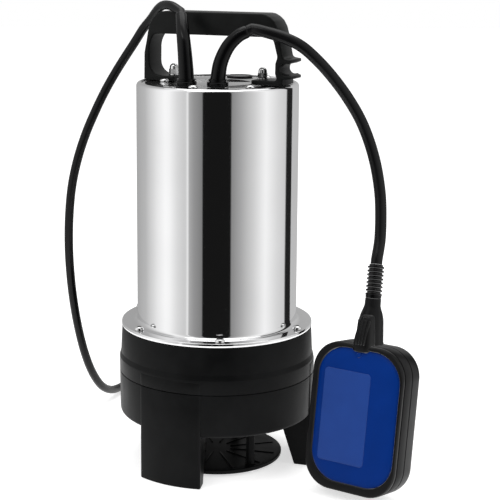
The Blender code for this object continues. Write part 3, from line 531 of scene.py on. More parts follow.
def soft_box(size: Point, rounding: float, cuts: int = 0) -> Shape:
    """Makes a box about the origin.

    Args:
        size: its lengths along X, Y and Z.
        rounding: radius of its edges.
        cuts: how often it is cut across X, so that it can be bent.

    Returns:
        The shape.
    """
    shape = bmesh.new()
    bmesh.ops.create_cube(shape, size=1.0, matrix=Matrix.Diagonal((*size, 1)))
    bmesh.ops.bevel(shape, geom=shape.edges[:], offset=rounding, segments=3, profile=0.5, affect="EDGES")
    for k in range(1, cuts + 1):
        everything = [*shape.verts, *shape.edges, *shape.faces]
        where = (size[0] * (k / (cuts + 1) - 0.5), 0, 0)
        bmesh.ops.bisect_plane(shape, geom=everything, plane_co=where, plane_no=(1, 0, 0))
    return shape


def hexagon(radius: float, depth: float, turn: Matrix) -> Shape:
    """Returns a six-sided block along Z, moved by a matrix."""
    shape = bmesh.new()
    bmesh.ops.create_cone(shape, cap_ends=True, segments=6, radius1=radius, radius2=radius, depth=depth,
                          matrix=turn)
    return shape


def bent(shape: Shape, radius: float, middle: float) -> Shape:
    """Bends a flat panel round the shaft.

    Args:
        shape: the panel, whose X runs round the pump and whose Y runs outwards.
        radius: where its Y of zero comes to lie.
        middle: where its X of zero comes to lie, in degrees round the pump.

    Returns:
        The same shape.
    """
    for vert in shape.verts:
        turn = radians(middle) + vert.co.x / radius
        out = radius + vert.co.y
        vert.co = Vector((out * sin(turn), -out * cos(turn), vert.co.z))
    return shape


def gathered(shapes: Iterable[Shape]) -> Shape:
    """Joins several closed shapes, which are used up, into one."""
    whole = bmesh.new()
    for shape in shapes:
        mesh = meshed("gathered", shape)
        whole.from_mesh(mesh)
        bpy.data.meshes.remove(mesh)
    return whole


def carved(shape: Shape, cutters: Iterable[Shape]) -> Shape:
    """Takes the cutters out of the shape and returns what is left; all of them are used up."""
    body, *tools = [linked("carved", meshed("carved", part)) for part in (shape, *cutters)]
    for tool in tools:
        cut = body.modifiers.new("cut", "BOOLEAN")
        cut.operation = "DIFFERENCE"
        cut.solver = "EXACT"
        cut.object = tool
    return evaluated(body, *tools)


def smooth_route(points: Sequence[Sequence[float]], spacing: float) -> list[Vector]:
    """Lays a smooth curve through a route.

    Args:
        points: the points that it passes.
        spacing: about how far apart the result's points are.

    Returns:
        Evenly spaced points of the curve.
    """
    knots = np.array([tuple(point) for point in points], float)
    p = np.vstack([2 * knots[0] - knots[1], knots, 2 * knots[-1] - knots[-2]])
    dense = []
    for k in range(1, len(p) - 2):
        for t in np.linspace(0, 1, KNOT_STEPS, endpoint=False):
            ends = (2 * t**3 - 3 * t**2 + 1) * p[k], (3 * t**2 - 2 * t**3) * p[k + 1]
            pulls = (p[k + 1] - p[k - 1]) / 2, (p[k + 2] - p[k]) / 2
            dense.append(ends[0] + (t**3 - 2 * t**2 + t) * pulls[0] + ends[1] + (t**3 - t**2) * pulls[1])
    line = np.array([*dense, knots[-1]])
    run = np.concatenate([[0], np.cumsum(np.linalg.norm(np.diff(line, axis=0), axis=1))])
    marks = np.linspace(0, run[-1], max(4, round(run[-1] / spacing) + 1))
    return [Vector(row) for row in zip(*[np.interp(marks, run, line[:, axis]) for axis in range(3)])]


def length_of(points: Sequence[Vector]) -> float:
    """Returns a route's length."""
    return sum((b - a).length for a, b in zip(points, points[1:]))


def tube(points: Sequence[Vector], radii: float | Sequence[float], sides: int = 20) -> Shape:
    """Sweeps a circle along the points, with a UV map that counts metres along and round the tube.

    Args:
        points: the line it follows.
        radii: one radius, or one for each point.
        sides: facets round the tube.

    Returns:
        The closed shape.
    """
    sizes = [radii] * len(points) if isinstance(radii, float) else list(radii)
    last = len(points) - 1
    ahead = [(points[min(k + 1, last)] - points[max(k - 1, 0)]).normalized() for k in range(len(points))]
    across = ahead[0].orthogonal().normalized()
    shape = bmesh.new()
    layer = shape.loops.layers.uv.new("along")
    rows, run = [], [0.0]
    for k, point in enumerate(points):
        across = (across - ahead[k] * across.dot(ahead[k])).normalized()
        beside = ahead[k].cross(across)
        turns = [tau * j / sides for j in range(sides)]
        rows.append([shape.verts.new(point + (across * cos(turn) + beside * sin(turn)) * sizes[k])
                     for turn in turns])
        run.append(run[-1] + (points[min(k + 1, last)] - point).length)
    for k in range(last):
        girth = tau * sizes[k] / sides
        for j in range(sides):
            after = (j + 1) % sides
            face = shape.faces.new((rows[k][j], rows[k][after], rows[k + 1][after], rows[k + 1][j]))
            marks = ((k, j), (k, j + 1), (k + 1, j + 1), (k + 1, j))
            for loop, (along, round_it) in zip(face.loops, marks):
                loop[layer].uv = (run[along], round_it * girth)
    shape.faces.new(rows[0])
    shape.faces.new(rows[-1])
    return shape


# ---- Repeats, by Geometry Nodes ----
@dataclass
class RoundOf:
    """One shape repeated evenly on a circle about Z, made by a Geometry Nodes tree.

    Args:
        count: how many there are.
        circle: the circle's radius.
        first: angle of the first one, in degrees from +X.
        centre: middle of the circle in the pump's frame.
    """

    count: int
    circle: float
    first: float = 0.0
    centre: Point = (0.0, 0.0, 0.0)

    def build(self, shape: Shape, look: Finish, turn: Matrix = STILL) -> Shape:
        """Repeats a shape.

        Args:
            shape: the shape about its own origin, its +X side facing out.
            look: its finish.
            turn: a last move of the whole ring, in the pump's frame.

        Returns:
            The ring of shapes, as one plain shape.
        """
        source = linked("one", meshed("one", shape))
        host = linked("round", bpy.data.meshes.new("round"))
        modifier = host.modifiers.new("repeat", "NODES")
        modifier.node_group = self._tree()
        given = {"Shape": source, "Count": self.count, "Circle": self.circle, "First": radians(self.first),
                 "Finish": look.build()}
        for item in modifier.node_group.interface.items_tree:
            if item.in_out == "INPUT" and item.name in given:
                modifier[item.identifier] = given[item.name]
        return moved(evaluated(host, source), turn @ at(*self.centre))

    def _tree(self) -> Tree:
        """Builds the tree: a circle of points, the shape on each, realised and dressed.

        Returns:
            The tree.
        """
        tree = bpy.data.node_groups.new("round", "GeometryNodeTree")
        for name, kind in (("Geometry", "Geometry"), ("Shape", "Object"), ("Count", "Int"),
                           ("Circle", "Float"), ("First", "Float"), ("Finish", "Material")):
            tree.interface.new_socket(name, in_out="INPUT", socket_type="NodeSocket" + kind)
        tree.interface.new_socket("Geometry", in_out="OUTPUT", socket_type="NodeSocketGeometry")
        given = added(tree, "NodeGroupInput").outputs
        circle = added(tree, "GeometryNodeMeshCircle", {
            "Vertices": given["Count"], "Radius": given["Circle"]})
        where = added(tree, "GeometryNodeInputPosition").outputs["Position"]
        aim = added(tree, "FunctionNodeAlignEulerToVector", {"Vector": where}, axis="X", pivot_axis="Z")
        shape = added(tree, "GeometryNodeObjectInfo", {"Object": given["Shape"]})
        ring = added(tree, "GeometryNodeInstanceOnPoints", {
            "Points": circle.outputs["Mesh"], "Instance": shape.outputs["Geometry"],
            "Rotation": aim.outputs["Rotation"]})
        axis = added(tree, "ShaderNodeCombineXYZ", {"Z": given["First"]})
        swing = added(tree, "GeometryNodeTransform", {
            "Geometry": ring.outputs["Instances"], "Rotation": axis.outputs["Vector"]})
        real = added(tree, "GeometryNodeRealizeInstances", {"Geometry": swing.outputs["Geometry"]})
        dress = added(tree, "GeometryNodeSetMaterial", {
            "Geometry": real.outputs["Geometry"], "Material": given["Finish"]})
        added(tree, "NodeGroupOutput", {"Geometry": dress.outputs["Geometry"]})
        return tree


# ---- Studio ----
@dataclass
class Studio:
    """Camera, floor, sky, lamps, and the ring of cards that the polished can mirrors.

    Args:
        eye: the camera, in the pump's frame.
        pitch: degrees below the horizon.
        roll: degrees about the line of sight.
        lens: focal length in mm on a 36 mm sensor.
        slide: the camera's sideways shift.
        rise: the camera's vertical shift.
        sky: the sky's strength where it lights the pump; it is 1 where it is looked at.
        floor_glow: the floor's own light where it is looked at.
        ring_radius: the cards' distance from the shaft.
        ring_height: their height.
        cards: edge of each card as degrees round from the camera, with its brightness.
        lamps: each lamp's name, place in the pump's frame, size and power.
    """

    eye: Point = (0.0, -1.235, 0.460)
    pitch: float = 10.0
    roll: float = 0.22
    lens: float = 103.68
    slide: float = 0.0654
    rise: float = -0.122
    sky: float = 0.55
    floor_glow: float = 0.62
    ring_radius: float = 0.42
    ring_height: float = 0.80
    cards: tuple[Row, ...] = (
        (-180.0, 0.40), (-144.0, 0.45), (-114.5, 0.58), (-95.0, 0.86), (-87.0, 1.00), (-72.5, 1.19),
        (-65.5, 1.15), (-53.0, 0.88), (-43.5, 0.76), (-40.1, 0.78), (-39.5, 1.00), (-38.0, 1.00),
        (-37.4, 0.52), (-30.0, 0.37), (-19.6, 0.26), (-19.3, 0.010), (17.4, 0.010), (17.8, 0.30),
        (30.0, 0.47), (40.5, 0.66), (47.5, 0.77), (60.0, 1.02), (66.5, 1.13), (73.0, 1.05), (87.5, 0.86),
        (100.0, 0.77), (105.2, 0.74), (105.6, 0.018), (121.5, 0.018), (122.1, 0.62), (146.0, 0.57),
    )
    lamps: tuple[tuple[str, Point, float, float], ...] = (
        ("key", (-0.75, -1.10, 1.45), 1.0, 9.0),
        ("fill", (0.95, -0.95, 1.10), 1.0, 6.5),
        ("top", (0.05, 0.25, 1.70), 1.3, 10.0),
    )

    def build(self) -> None:
        """Makes the camera and everything that lights the pump."""
        self._camera()
        self._world()
        self._floor()
        self._ring()
        for lamp in self.lamps:
            self._lamp(*lamp)
        bpy.context.scene.view_settings.view_transform = "Standard"

    def _camera(self) -> None:
        """Makes the camera at the photograph's angle."""
        data = bpy.data.cameras.new("camera")
        data.lens = self.lens
        data.sensor_width = 36.0
        data.shift_x = self.slide
        data.shift_y = self.rise
        data.clip_start = 0.01
        made = linked("camera", data)
        made.location = Vector(self.eye) + PUMP
        made.rotation_euler = (spun(90 - self.pitch, "X") @ spun(self.roll, "Z")).to_euler()
        bpy.context.scene.camera = made

    def _seen(self, tree: Tree) -> Socket:
        """Tells the rays that look at a surface from those that light it.

        Args:
            tree: the tree that asks.

        Returns:
            1 for rays that come from the camera, a mirror or glass, and 0 for the rest.
        """
        path = added(tree, "ShaderNodeLightPath").outputs
        most = path["Is Camera Ray"]
        for name in ("Is Glossy Ray", "Is Transmission Ray"):
            most = added(tree, "ShaderNodeMath", {0: most, 1: path[name]}, operation="MAXIMUM").outputs[0]
        return most

    def _world(self) -> None:
        """White where it is looked at, and a plain soft level of light elsewhere."""
        world = bpy.data.worlds.new("studio_sky")
        world.use_nodes = True
        level = ranged(self._seen(world.node_tree), (0.0, 1.0), (self.sky, 1.0))
        feed(world.node_tree.nodes["Background"], {"Color": (1, 1, 1, 1), "Strength": level})
        bpy.context.scene.world = world

    def _floor(self) -> None:
        """A pale floor that keeps the pump's soft shadow."""
        shape = bmesh.new()
        bmesh.ops.create_grid(shape, x_segments=1, y_segments=1, size=6.0, matrix=at(0, 0, -0.0002))
        look = blank("studio_floor")
        tree = look.node_tree
        shader = tree.nodes["Principled BSDF"]
        feed(shader, {"Base Color": (0.82, 0.82, 0.82, 1), "Roughness": 0.9})
        level = ranged(self._seen(tree), (0.0, 1.0), (0.0, self.floor_glow))
        glow = added(tree, "ShaderNodeEmission", {"Strength": level})
        both = added(tree, "ShaderNodeAddShader", {0: shader.outputs["BSDF"], 1: glow.outputs["Emission"]})
        feed(tree.nodes["Material Output"], {"Surface": both.outputs["Shader"]})
        self._stage("floor", shape, look)

    def _ring(self) -> None:
        """The cards round the pump, seen only in its reflections."""
        steps = 720
        shape = bmesh.new()
        low, high = [[shape.verts.new(polar(self.ring_radius, 360 * k / steps, z)) for k in range(steps)]
                     for z in (0.0005, self.ring_height)]
        for k in range(steps):
            after = (k + 1) % steps
            shape.faces.new((low[k], low[after], high[after], high[k]))
        made = self._stage("card_ring", shape, self._card_look())
        for ray in ("camera", "diffuse", "shadow", "transmission", "volume_scatter"):
            setattr(made, "visible_" + ray, False)

    def _card_look(self) -> Material:
        """Makes the glow whose brightness depends on the angle round the pump.

        Returns:
            The material.
        """
        look = blank("studio_cards")
        tree = look.node_tree
        tree.nodes.clear()
        place = added(tree, "ShaderNodeTexCoord").outputs["Object"]
        centre = added(tree, "ShaderNodeVectorMath", {0: place, 1: PUMP}, operation="SUBTRACT")
        split = added(tree, "ShaderNodeSeparateXYZ", {0: centre.outputs[0]}).outputs
        back = added(tree, "ShaderNodeMath", {0: split["Y"], 1: -1.0}, operation="MULTIPLY").outputs[0]
        turn = added(tree, "ShaderNodeMath", {0: split["X"], 1: back}, operation="ARCTAN2").outputs[0]
        node = added(tree, "ShaderNodeValToRGB", {"Fac": ranged(turn, (-pi, pi), (0.0, 1.0))})
        stops = node.color_ramp.elements
        for k, (angle, level) in enumerate(self.cards):
            share = (angle + 180) / 360
            stop = stops.new(share) if k else stops[0]
            stop.position = share
            stop.color = (level, level, level, 1)
        stops[-1].position = 1.0
        stops[-1].color = stops[0].color
        glow = added(tree, "ShaderNodeEmission", {"Color": node.outputs["Color"]})
        added(tree, "ShaderNodeOutputMaterial", {"Surface": glow.outputs["Emission"]})
        return look

    def _stage(self, name: str, shape: Shape, look: Material) -> Object:
        """Makes a piece of the studio.

        Args:
            name: its name.
            shape: its shape, in the pump's frame.
            look: its material.

        Returns:
            The object.
        """
        made = solid(name, shape, PALE_PLASTIC)
        made.data.materials[0] = look
        return made

    def _lamp(self, name: str, place: Point, size: float, power: float) -> None:
        """Hangs one soft square lamp that faces the pump.

        Args:
            name: its name.
            place: where it hangs.
            size: its side.
            power: its power in watts.
        """
        data = bpy.data.lights.new(name, "AREA")
        data.size = size
        data.energy = power
        made = linked(name, data)
        made.location = Vector(place) + PUMP
        aim = Vector((0, 0, 0.2)) + PUMP - made.location
        made.rotation_euler = aim.to_track_quat("-Z", "Y").to_euler()


# ---- Cords ----
@dataclass
class CableBoot:
    """A moulded boot that leads a cord out of the cover.

    Args:
        name: the CAD node it stands for.
        route: the boot's centre line, from under the cover.
        collar: radius of the collar on the cover.
        body: radius above the collar.
        tip: radius at the cord.
        mouth: length of the rounding at the tip.
        step: from one ring of its points to the next.
        lead_step: the same for the line that its cord carries on.
    """

    name: str
    route: tuple[Point, ...]
    collar: float
    body: float
    tip: float
    mouth: float = 0.0012
    step: float = 0.0012
    lead_step: float = 0.0045

    def tip_point(self) -> tuple[Vector, Vector]:
        """Returns where its cord starts, and which way."""
        before, tip = smooth_route(self.route[1:], self.lead_step)[-2:]
        leaving = (tip - before).normalized()
        return tip + leaving * GAP, leaving

    def build(self) -> None:
        """Makes the boot: collar with its lip and a groove, smooth taper, and a rounded mouth."""
        rise = [(0.0, 0.0060), (0.0067, 0.0060), (0.0068, self.collar * 0.97), (0.0072, self.collar),
                (0.0104, self.collar), (0.0109, self.collar * 0.96), (0.0111, self.body + 0.0009),
                (0.0117, self.body + 0.0008), (0.0119, self.body + 0.0016), (0.0129, self.body + 0.0014)]
        points = [Vector(self.route[0]) + Vector((0, 0, height)) for height, _ in rise]
        radii = [radius for _, radius in rise]
        neck = smooth_route(self.route[1:], self.step)
        length = length_of(neck)
        for k in range(len(neck)):
            run = length_of(neck[:k + 1])
            rounding = max(0.0, self.mouth - (length - run)) * 0.5
            radii.append(self.body + (self.tip - self.body) * (run / length) - rounding)
        piece(self.name + "_moulded", tube(points + neck, radii, 32), MOULDED_RUBBER, self.name)


POWER_BOOT = CableBoot(
    "power_cable_boot",
    ((-0.0262, -0.0360, 0.3290), (-0.0262, -0.0360, 0.3420), (-0.0267, -0.0355, 0.3520),
     (-0.0275, -0.0338, 0.3630), (-0.0287, -0.0296, 0.3745), (-0.0300, -0.0220, 0.3850),
     (-0.0312, -0.0116, 0.3935)),
    0.0088, 0.0066, 0.0050,
)
FLOAT_BOOT = CableBoot(
    "float_cable_boot",
    ((0.0000, -0.0410, 0.3290), (0.0000, -0.0410, 0.3420), (0.0024, -0.0410, 0.3560),
     (0.0084, -0.0409, 0.3690), (0.0166, -0.0405, 0.3777), (0.0246, -0.0400, 0.3819)),
    0.0091, 0.0064, 0.0054,
)


def led_through(start: tuple[Vector, Vector], route: Sequence[Point], end: tuple[Vector, Vector],
                spacing: float) -> list[Vector]:
    """Lays a cord, with short straight ends that carry on what the cord meets.

    Args:
        start: where it starts, and which way.
        route: the points that it passes.
        end: where it ends, and which way.
        spacing: about how far apart the result's points are.

    Returns:
        The cord's points.
    """
    first, last = start[0] + start[1] * STRAIGHT_END, end[0] - end[1] * STRAIGHT_END
    return [start[0]] + smooth_route([first, *route, last], spacing) + [end[0]]


@dataclass
class FloatLead:
    """The stiff cord from its boot to the float's ribbed relief."""

    diameter: float = 0.0098
    step: float = 0.0035
    bend_end: int = 14
    route: tuple[Point, ...] = (
        (0.0369, -0.0430, 0.3821), (0.0544, -0.0455, 0.3770), (0.0686, -0.0460, 0.3702),
        (0.0811, -0.0450, 0.3596), (0.0938, -0.0430, 0.3460), (0.1071, -0.0410, 0.3287),
        (0.1191, -0.0390, 0.3091), (0.1275, -0.0380, 0.2893), (0.1333, -0.0388, 0.2693),
        (0.1367, -0.0423, 0.2485), (0.1373, -0.0484, 0.2310), (0.1361, -0.0574, 0.2104),
    )

    def build(self, relief_top: Vector, lean: Vector) -> None:
        """Args:
            relief_top: where the relief ends.
            lean: which way the relief rises.
        """
        down = -lean.normalized()
        end = (relief_top - down * GAP, down)
        route = led_through(FLOAT_BOOT.tip_point(), self.route, end, self.step)
        made = unmirrored(solid("float_lead", tube(route, self.diameter / 2, 24), CORD_SHEATH))
        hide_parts("float_cord")
        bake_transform(made)


@dataclass
class PowerLead:
    """The 7.6 m lead: over the handle, down to the floor, and wound close behind the pump with its plug.

    Args:
        turns: turns in each layer of the coil.
        pitch: from one turn, or one layer, to the next.
        lift: the coil's height over the floor.
        run_out: turns on top of the last whole layer.
        run_in: how fast those spiral inwards.
        tail: how far the tail has run, and risen, at each of its points.
        measured: points in a turn, and step of the free stretch, by which the length is set.
        drawn: the same for the visible lead.
        route: the points that its free stretch passes.
    """

    diameter: float = 0.0080
    length: float = 7.60
    centre: Row = (0.0020, 0.2350)
    layers: int = 4
    turns: float = 4.0
    pitch: float = 0.0087
    lift: float = 0.0019
    run_out: float = 0.70
    run_in: float = 5.5
    plug_half: float = 0.0120
    tail: tuple[Row, ...] = ((0.008, 0.0), (0.018, 0.5), (0.028, 1.0), (0.036, 1.0))
    measured: tuple[int, float] = (24, 0.0105)
    drawn: tuple[int, float] = (60, 0.0040)
    route: tuple[Point, ...] = (
        (-0.0405, 0.0050, 0.4005), (-0.0496, 0.0200, 0.3989), (-0.0591, 0.0345, 0.3868),
        (-0.0660, 0.0400, 0.3783), (-0.0735, 0.0445, 0.3665), (-0.0812, 0.0478, 0.3548),
        (-0.0895, 0.0500, 0.3418), (-0.0974, 0.0507, 0.3284), (-0.1040, 0.0510, 0.3160),
        (-0.1098, 0.0512, 0.3039), (-0.1182, 0.0520, 0.2846), (-0.1262, 0.0535, 0.2610),
        (-0.1322, 0.0560, 0.2350), (-0.1355, 0.0595, 0.2060), (-0.1367, 0.0640, 0.1760),
        (-0.1360, 0.0700, 0.1460), (-0.1338, 0.0775, 0.1165), (-0.1303, 0.0870, 0.0880),
        (-0.1258, 0.0990, 0.0620), (-0.1203, 0.1140, 0.0395), (-0.1135, 0.1330, 0.0210),
        (-0.1058, 0.1560, 0.0095), (-0.0975, 0.1800, 0.0050), (-0.0885, 0.2030, 0.0048),
    )
    mean_radius: float = field(default=0.058, init=False)

    @property
    def top(self) -> float:
        """Height of the coil's last whole layer."""
        return self.lift + self.diameter + (self.layers - 1) * self.pitch

    def coil(self, per_turn: int) -> list[Vector]:
        """Winds the coil: it spirals in and out, climbs where it turns back, and ends on top.

        Args:
            per_turn: points in each turn.

        Returns:
            The points of the wound part.
        """
        outer = self.mean_radius + self.turns * self.pitch / 2
        wound = self.layers * self.turns
        points = []
        for k in range(round((wound + self.run_out) * per_turn) + 1):
            turn = k / per_turn
            layer, along = divmod(turn, self.turns)
            inward = along if layer % 2 == 0 else self.turns - along
            inward += max(0.0, turn - wound - 0.25) * self.run_in
            nearest = round(turn / self.turns)
            past = max(-0.25, min(0.25, turn - nearest * self.turns))
            climbed = nearest + 2 * past - 0.5 if nearest > 0 else 0.0
            radius, angle = outer - inward * self.pitch, pi - tau * turn
            points.append(Vector((self.centre[0] + radius * cos(angle), self.centre[1] + radius * sin(angle),
                                  self.lift + self.diameter / 2 + climbed * self.pitch)))
        return points

    def whole_coil(self, per_turn: int) -> tuple[list[Vector], Vector]:
        """Adds the straight lead-in and the tail to the coil.

        Args:
            per_turn: points in each turn.

        Returns:
            The points, and the way the tail leaves.
        """
        before, last = self.coil(self.measured[0])[-2:]
        leaving = (last - before).normalized()
        points = self.coil(per_turn)
        rise = Vector((0, 0, self.top + self.plug_half + GAP - points[-1].z))
        tail = [points[-1] + leaving * run + rise * share for run, share in self.tail]
        return [points[0] - Vector((0, self.diameter, 0))] + points + tail, leaving

    def free_run(self, coil_start: Vector, step: float) -> list[Vector]:
        """Returns the free stretch between the boot and the coil."""
        back = Vector((0, 1, 0))
        return led_through(POWER_BOOT.tip_point(), self.route, (coil_start - back * GAP, back), step)

    def build(self) -> None:
        per_turn, step = self.measured
        for _ in range(3):
            coil, _ = self.whole_coil(per_turn)
            spare = self.length - length_of(coil) - length_of(self.free_run(coil[0], step))
            self.mean_radius += spare / (tau * self.layers * self.turns)
        coil, leaving = self.whole_coil(per_turn)
        per_turn, step = self.drawn
        fine, _ = self.whole_coil(per_turn)
        path = self.free_run(fine[0], step) + fine
        lead = tube(path, self.diameter / 2, 16)
        made = unmirrored(piece("power_lead", lead, CORD_SHEATH, "power_cord", "power_cord_coil"))
        extras = [self._plug(coil[-1] + leaving * GAP, leaving), self._tie()]

    def _plug(self, start: Vector, direction: Vector) -> Object:
        """Makes the moulded plug: ribbed neck, shoulder and grip.

        Args:
            start: where the cord enters it.
            direction: the way it points.

        Returns:
            The plug.
        """
        sections = [(0.0, 0.0046, 0.0046), (0.0004, 0.0050, 0.0050)]
        for k in range(7):
            low, size = 0.0010 + 0.0040 * k, 0.0050 + 0.00016 * k
            sections += [(low + rise, size - groove, size - groove)
                         for rise, groove in ((0.0, 0.0), (0.0022, 0.0), (0.0025, 0.0008), (0.0037, 0.0008))]
        sections += [(0.0305, 0.0070, 0.0075), (0.0330, 0.0100, 0.0120), (0.0380, 0.0114, 0.0142),
                     (0.0430, self.plug_half, 0.0150), (0.0508, self.plug_half, 0.0150),
                     (0.0520, 0.0112, 0.0142)]
        heading = degrees(atan2(direction.y, direction.x))
        place = Matrix.Translation(start) @ spun(heading, "Z") @ spun(90, "Y")
        rings = [oval(tall, wide, height, 40) for height, tall, wide in sections]
        return piece("plug_moulding", moved(stack(rings), place), MOULDED_RUBBER, "plug_body")

    def _tie(self) -> Object:
        """Makes the strap round the coil.

        Returns:
            The strap.
        """
        half = self.turns / 2 * self.pitch - self.pitch / 2 + self.diameter / 2 + 0.0008
        rings = []
        for wall, depth in ((0.0, -0.0038), (0.0004, -0.0040), (0.0009, -0.0040), (0.0012, -0.0037),
                            (0.0012, 0.0037), (0.0009, 0.0040), (0.0004, 0.0040), (0.0, 0.0038)):
            low, shoulder = self.lift - GAP - wall, self.top + 0.0005 + wall
            side = [(half + wall, low, 0.003 + wall), (half + wall, shoulder, 0.004 + wall),
                    (0.008, shoulder + self.pitch, 0.005 + wall)]
            corners = side + [(-x, z, rounding) for x, z, rounding in reversed(side)]
            rings.append([Vector((x, depth, z)) for x, z in eased(corners, 6)])
        place = at(self.centre[0] + self.mean_radius, self.centre[1], 0)
        return piece("coil_tie", moved(stack(rings, closed=True), place), MOULDED_RUBBER, "cord_tie")


# ---- Motor can, cover and fasteners ----
@dataclass
class MotorCan:
    """The polished can with its flange, the cover plate on top, and every screw in both.

    Args:
        foot: where the wall meets the cove of the flange.
        screw_circle: radius of the circle of flange screws.
        screw_turn: the first one's angle.
        cover_screws: each cover screw's angle and distance from the shaft.
        cover_head: radius and height of a cover screw's head, and radius and length of its shank.
        flange_head: the same for a flange screw.
        oil_plug: where the oil plug stands.
    """

    radius: float = 0.0700
    wall: float = 0.0015
    foot: float = 0.1304
    flange: float = 0.0837
    flange_top: float = 0.1265
    flange_bottom: float = 0.1230
    shoulder_top: float = 0.3363
    cover_top: float = 0.3355
    screw_circle: float = 0.0783
    screw_turn: float = 2.0
    cover_head: tuple[float, ...] = (0.0042, 0.0024, 0.0018, 0.0100)
    flange_head: tuple[float, ...] = (0.0040, 0.0030, 0.0019, 0.0140)
    oil_plug: Row = (0.0196, 0.0430)
    cover_screws: tuple[Row, ...] = (
        (-21.6, 0.0552), (29.4, 0.0546), (-94.0, 0.0460), (128.0, 0.0550), (180.0, 0.0550),
    )

    def build(self) -> None:
        """Makes the can, the cover and the screws."""
        self._can()
        self._cover()
        self._cover_screws()
        self._flange_screws()
        self._oil_plug()

    def _can(self) -> None:
        """The drawn can: rolled shoulder, wall, cove, flange with eased edges, open below."""
        radius, top, cove = self.radius, self.shoulder_top, self.foot - self.flange_top
        profile = arc((radius - 0.0035, top - 0.0035), 0.0035, 90, 0, 12)
        profile += [(radius, 0.30), (radius, 0.24), (radius, 0.18)]
        profile += arc((radius + cove, self.foot), cove, 180, 270, 10)
        profile += arc((self.flange - 0.0007, self.flange_top - 0.0007), 0.0007, 90, 0, 4)
        profile += arc((self.flange - 0.0006, self.flange_bottom + 0.0006), 0.0006, 0, -90, 3)
        profile += [(radius - self.wall, self.flange_bottom), (radius - self.wall, 0.3310), (0.0620, 0.3310),
                    (0.0620, 0.3325), (radius - 0.0043, 0.3325), (radius - 0.0043, top - 0.0005),
                    (radius - 0.0040, top - 0.0001)]
        piece("can_drawn", lathe(profile, 256), POLISHED, "motor_can", smooth=40)

    def _cover(self) -> None:
        """The cover plate with its eased edge and one pressed ring."""
        top = self.cover_top
        profile = [(0.0, top), (0.0285, top), (0.0292, top - 0.0004), (0.0300, top - 0.0005),
                   (0.0308, top - 0.0004), (0.0315, top), (0.0640, top), (0.0652, top - 0.0003),
                   (0.0656, top - 0.0009), (0.0656, 0.3330), (0.0, 0.3330)]
        piece("cover_pressed", lathe(profile, 160), COVER_STEEL, "top_cover")

    def _screw(self, sizes: tuple[float, ...], cutters: Iterable[Shape]) -> Shape:
        """Makes a screw about its seat: a domed head with its socket, and a plain shank.

        Args:
            sizes: radius and height of its head, and radius and length of its shank.
            cutters: what is cut out of the head.

        Returns:
            The screw.
        """
        head, height, shank, reach = sizes
        profile: Profile = [(0.0, height), (head * 0.45, height)]
        profile += arc((head * 0.45, height - head * 0.55), head * 0.55, 90, 20, 6)
        profile += [(head, 0.0004), (head - 0.0004, 0.0), (shank, 0.0), (shank, -reach), (0.0, -reach)]
        return carved(lathe(profile, 40), cutters)

    def _cover_screws(self) -> None:
        """Five pan-head screws with cross recesses in the cover."""
        head, height = self.cover_head[:2]
        shapes = []
        for angle, circle in self.cover_screws:
            cross = []
            for turn in (20, 110):
                bar = bmesh.new()
                size = Matrix.Diagonal((head * 1.05, head * 0.24, height, 1))
                bmesh.ops.create_cube(bar, size=1.0, matrix=at(0, 0, height) @ spun(turn, "Z") @ size)
                cross.append(bar)
            place = Matrix.Translation(polar(circle, angle, self.cover_top + GAP)) @ spun(angle * 3, "Z")
            shapes.append(moved(self._screw(self.cover_head, cross), place))
        piece("cover_screw_heads", gathered(shapes), BRIGHT, *[f"cover_screw_{k}" for k in range(1, 6)])

    def _flange_screws(self) -> None:
        """Six button-head screws with hexagon sockets round the flange."""
        head, height = self.flange_head[:2]
        layout = RoundOf(6, self.screw_circle, self.screw_turn - 90, (0.0, 0.0, self.flange_top + GAP))
        socket = hexagon(head * 0.46, height, at(0, 0, height))
        shape = layout.build(self._screw(self.flange_head, [socket]), BRIGHT)
        piece("flange_screw_heads", shape, BRIGHT, *[f"flange_screw_{k}" for k in range(1, 7)])

    def _oil_plug(self) -> None:
        """The flat rubber plug over the oil filler."""
        seat = self.cover_top + GAP
        profile = [(0.0, 0.3371), (0.0092, 0.3371), (0.0096, 0.3368), (0.0102, 0.3374), (0.0108, 0.3375)]
        profile += arc((0.0110, 0.3367), 0.0008, 80, 0, 4)
        profile += [(0.0118, seat + 0.0004), (0.0114, seat), (0.0060, seat), (0.0060, 0.3292), (0.0, 0.3292)]
        piece("oil_plug_moulded", lathe(profile, 72, at(*self.oil_plug, 0)), MOULDED_RUBBER, "oil_plug")


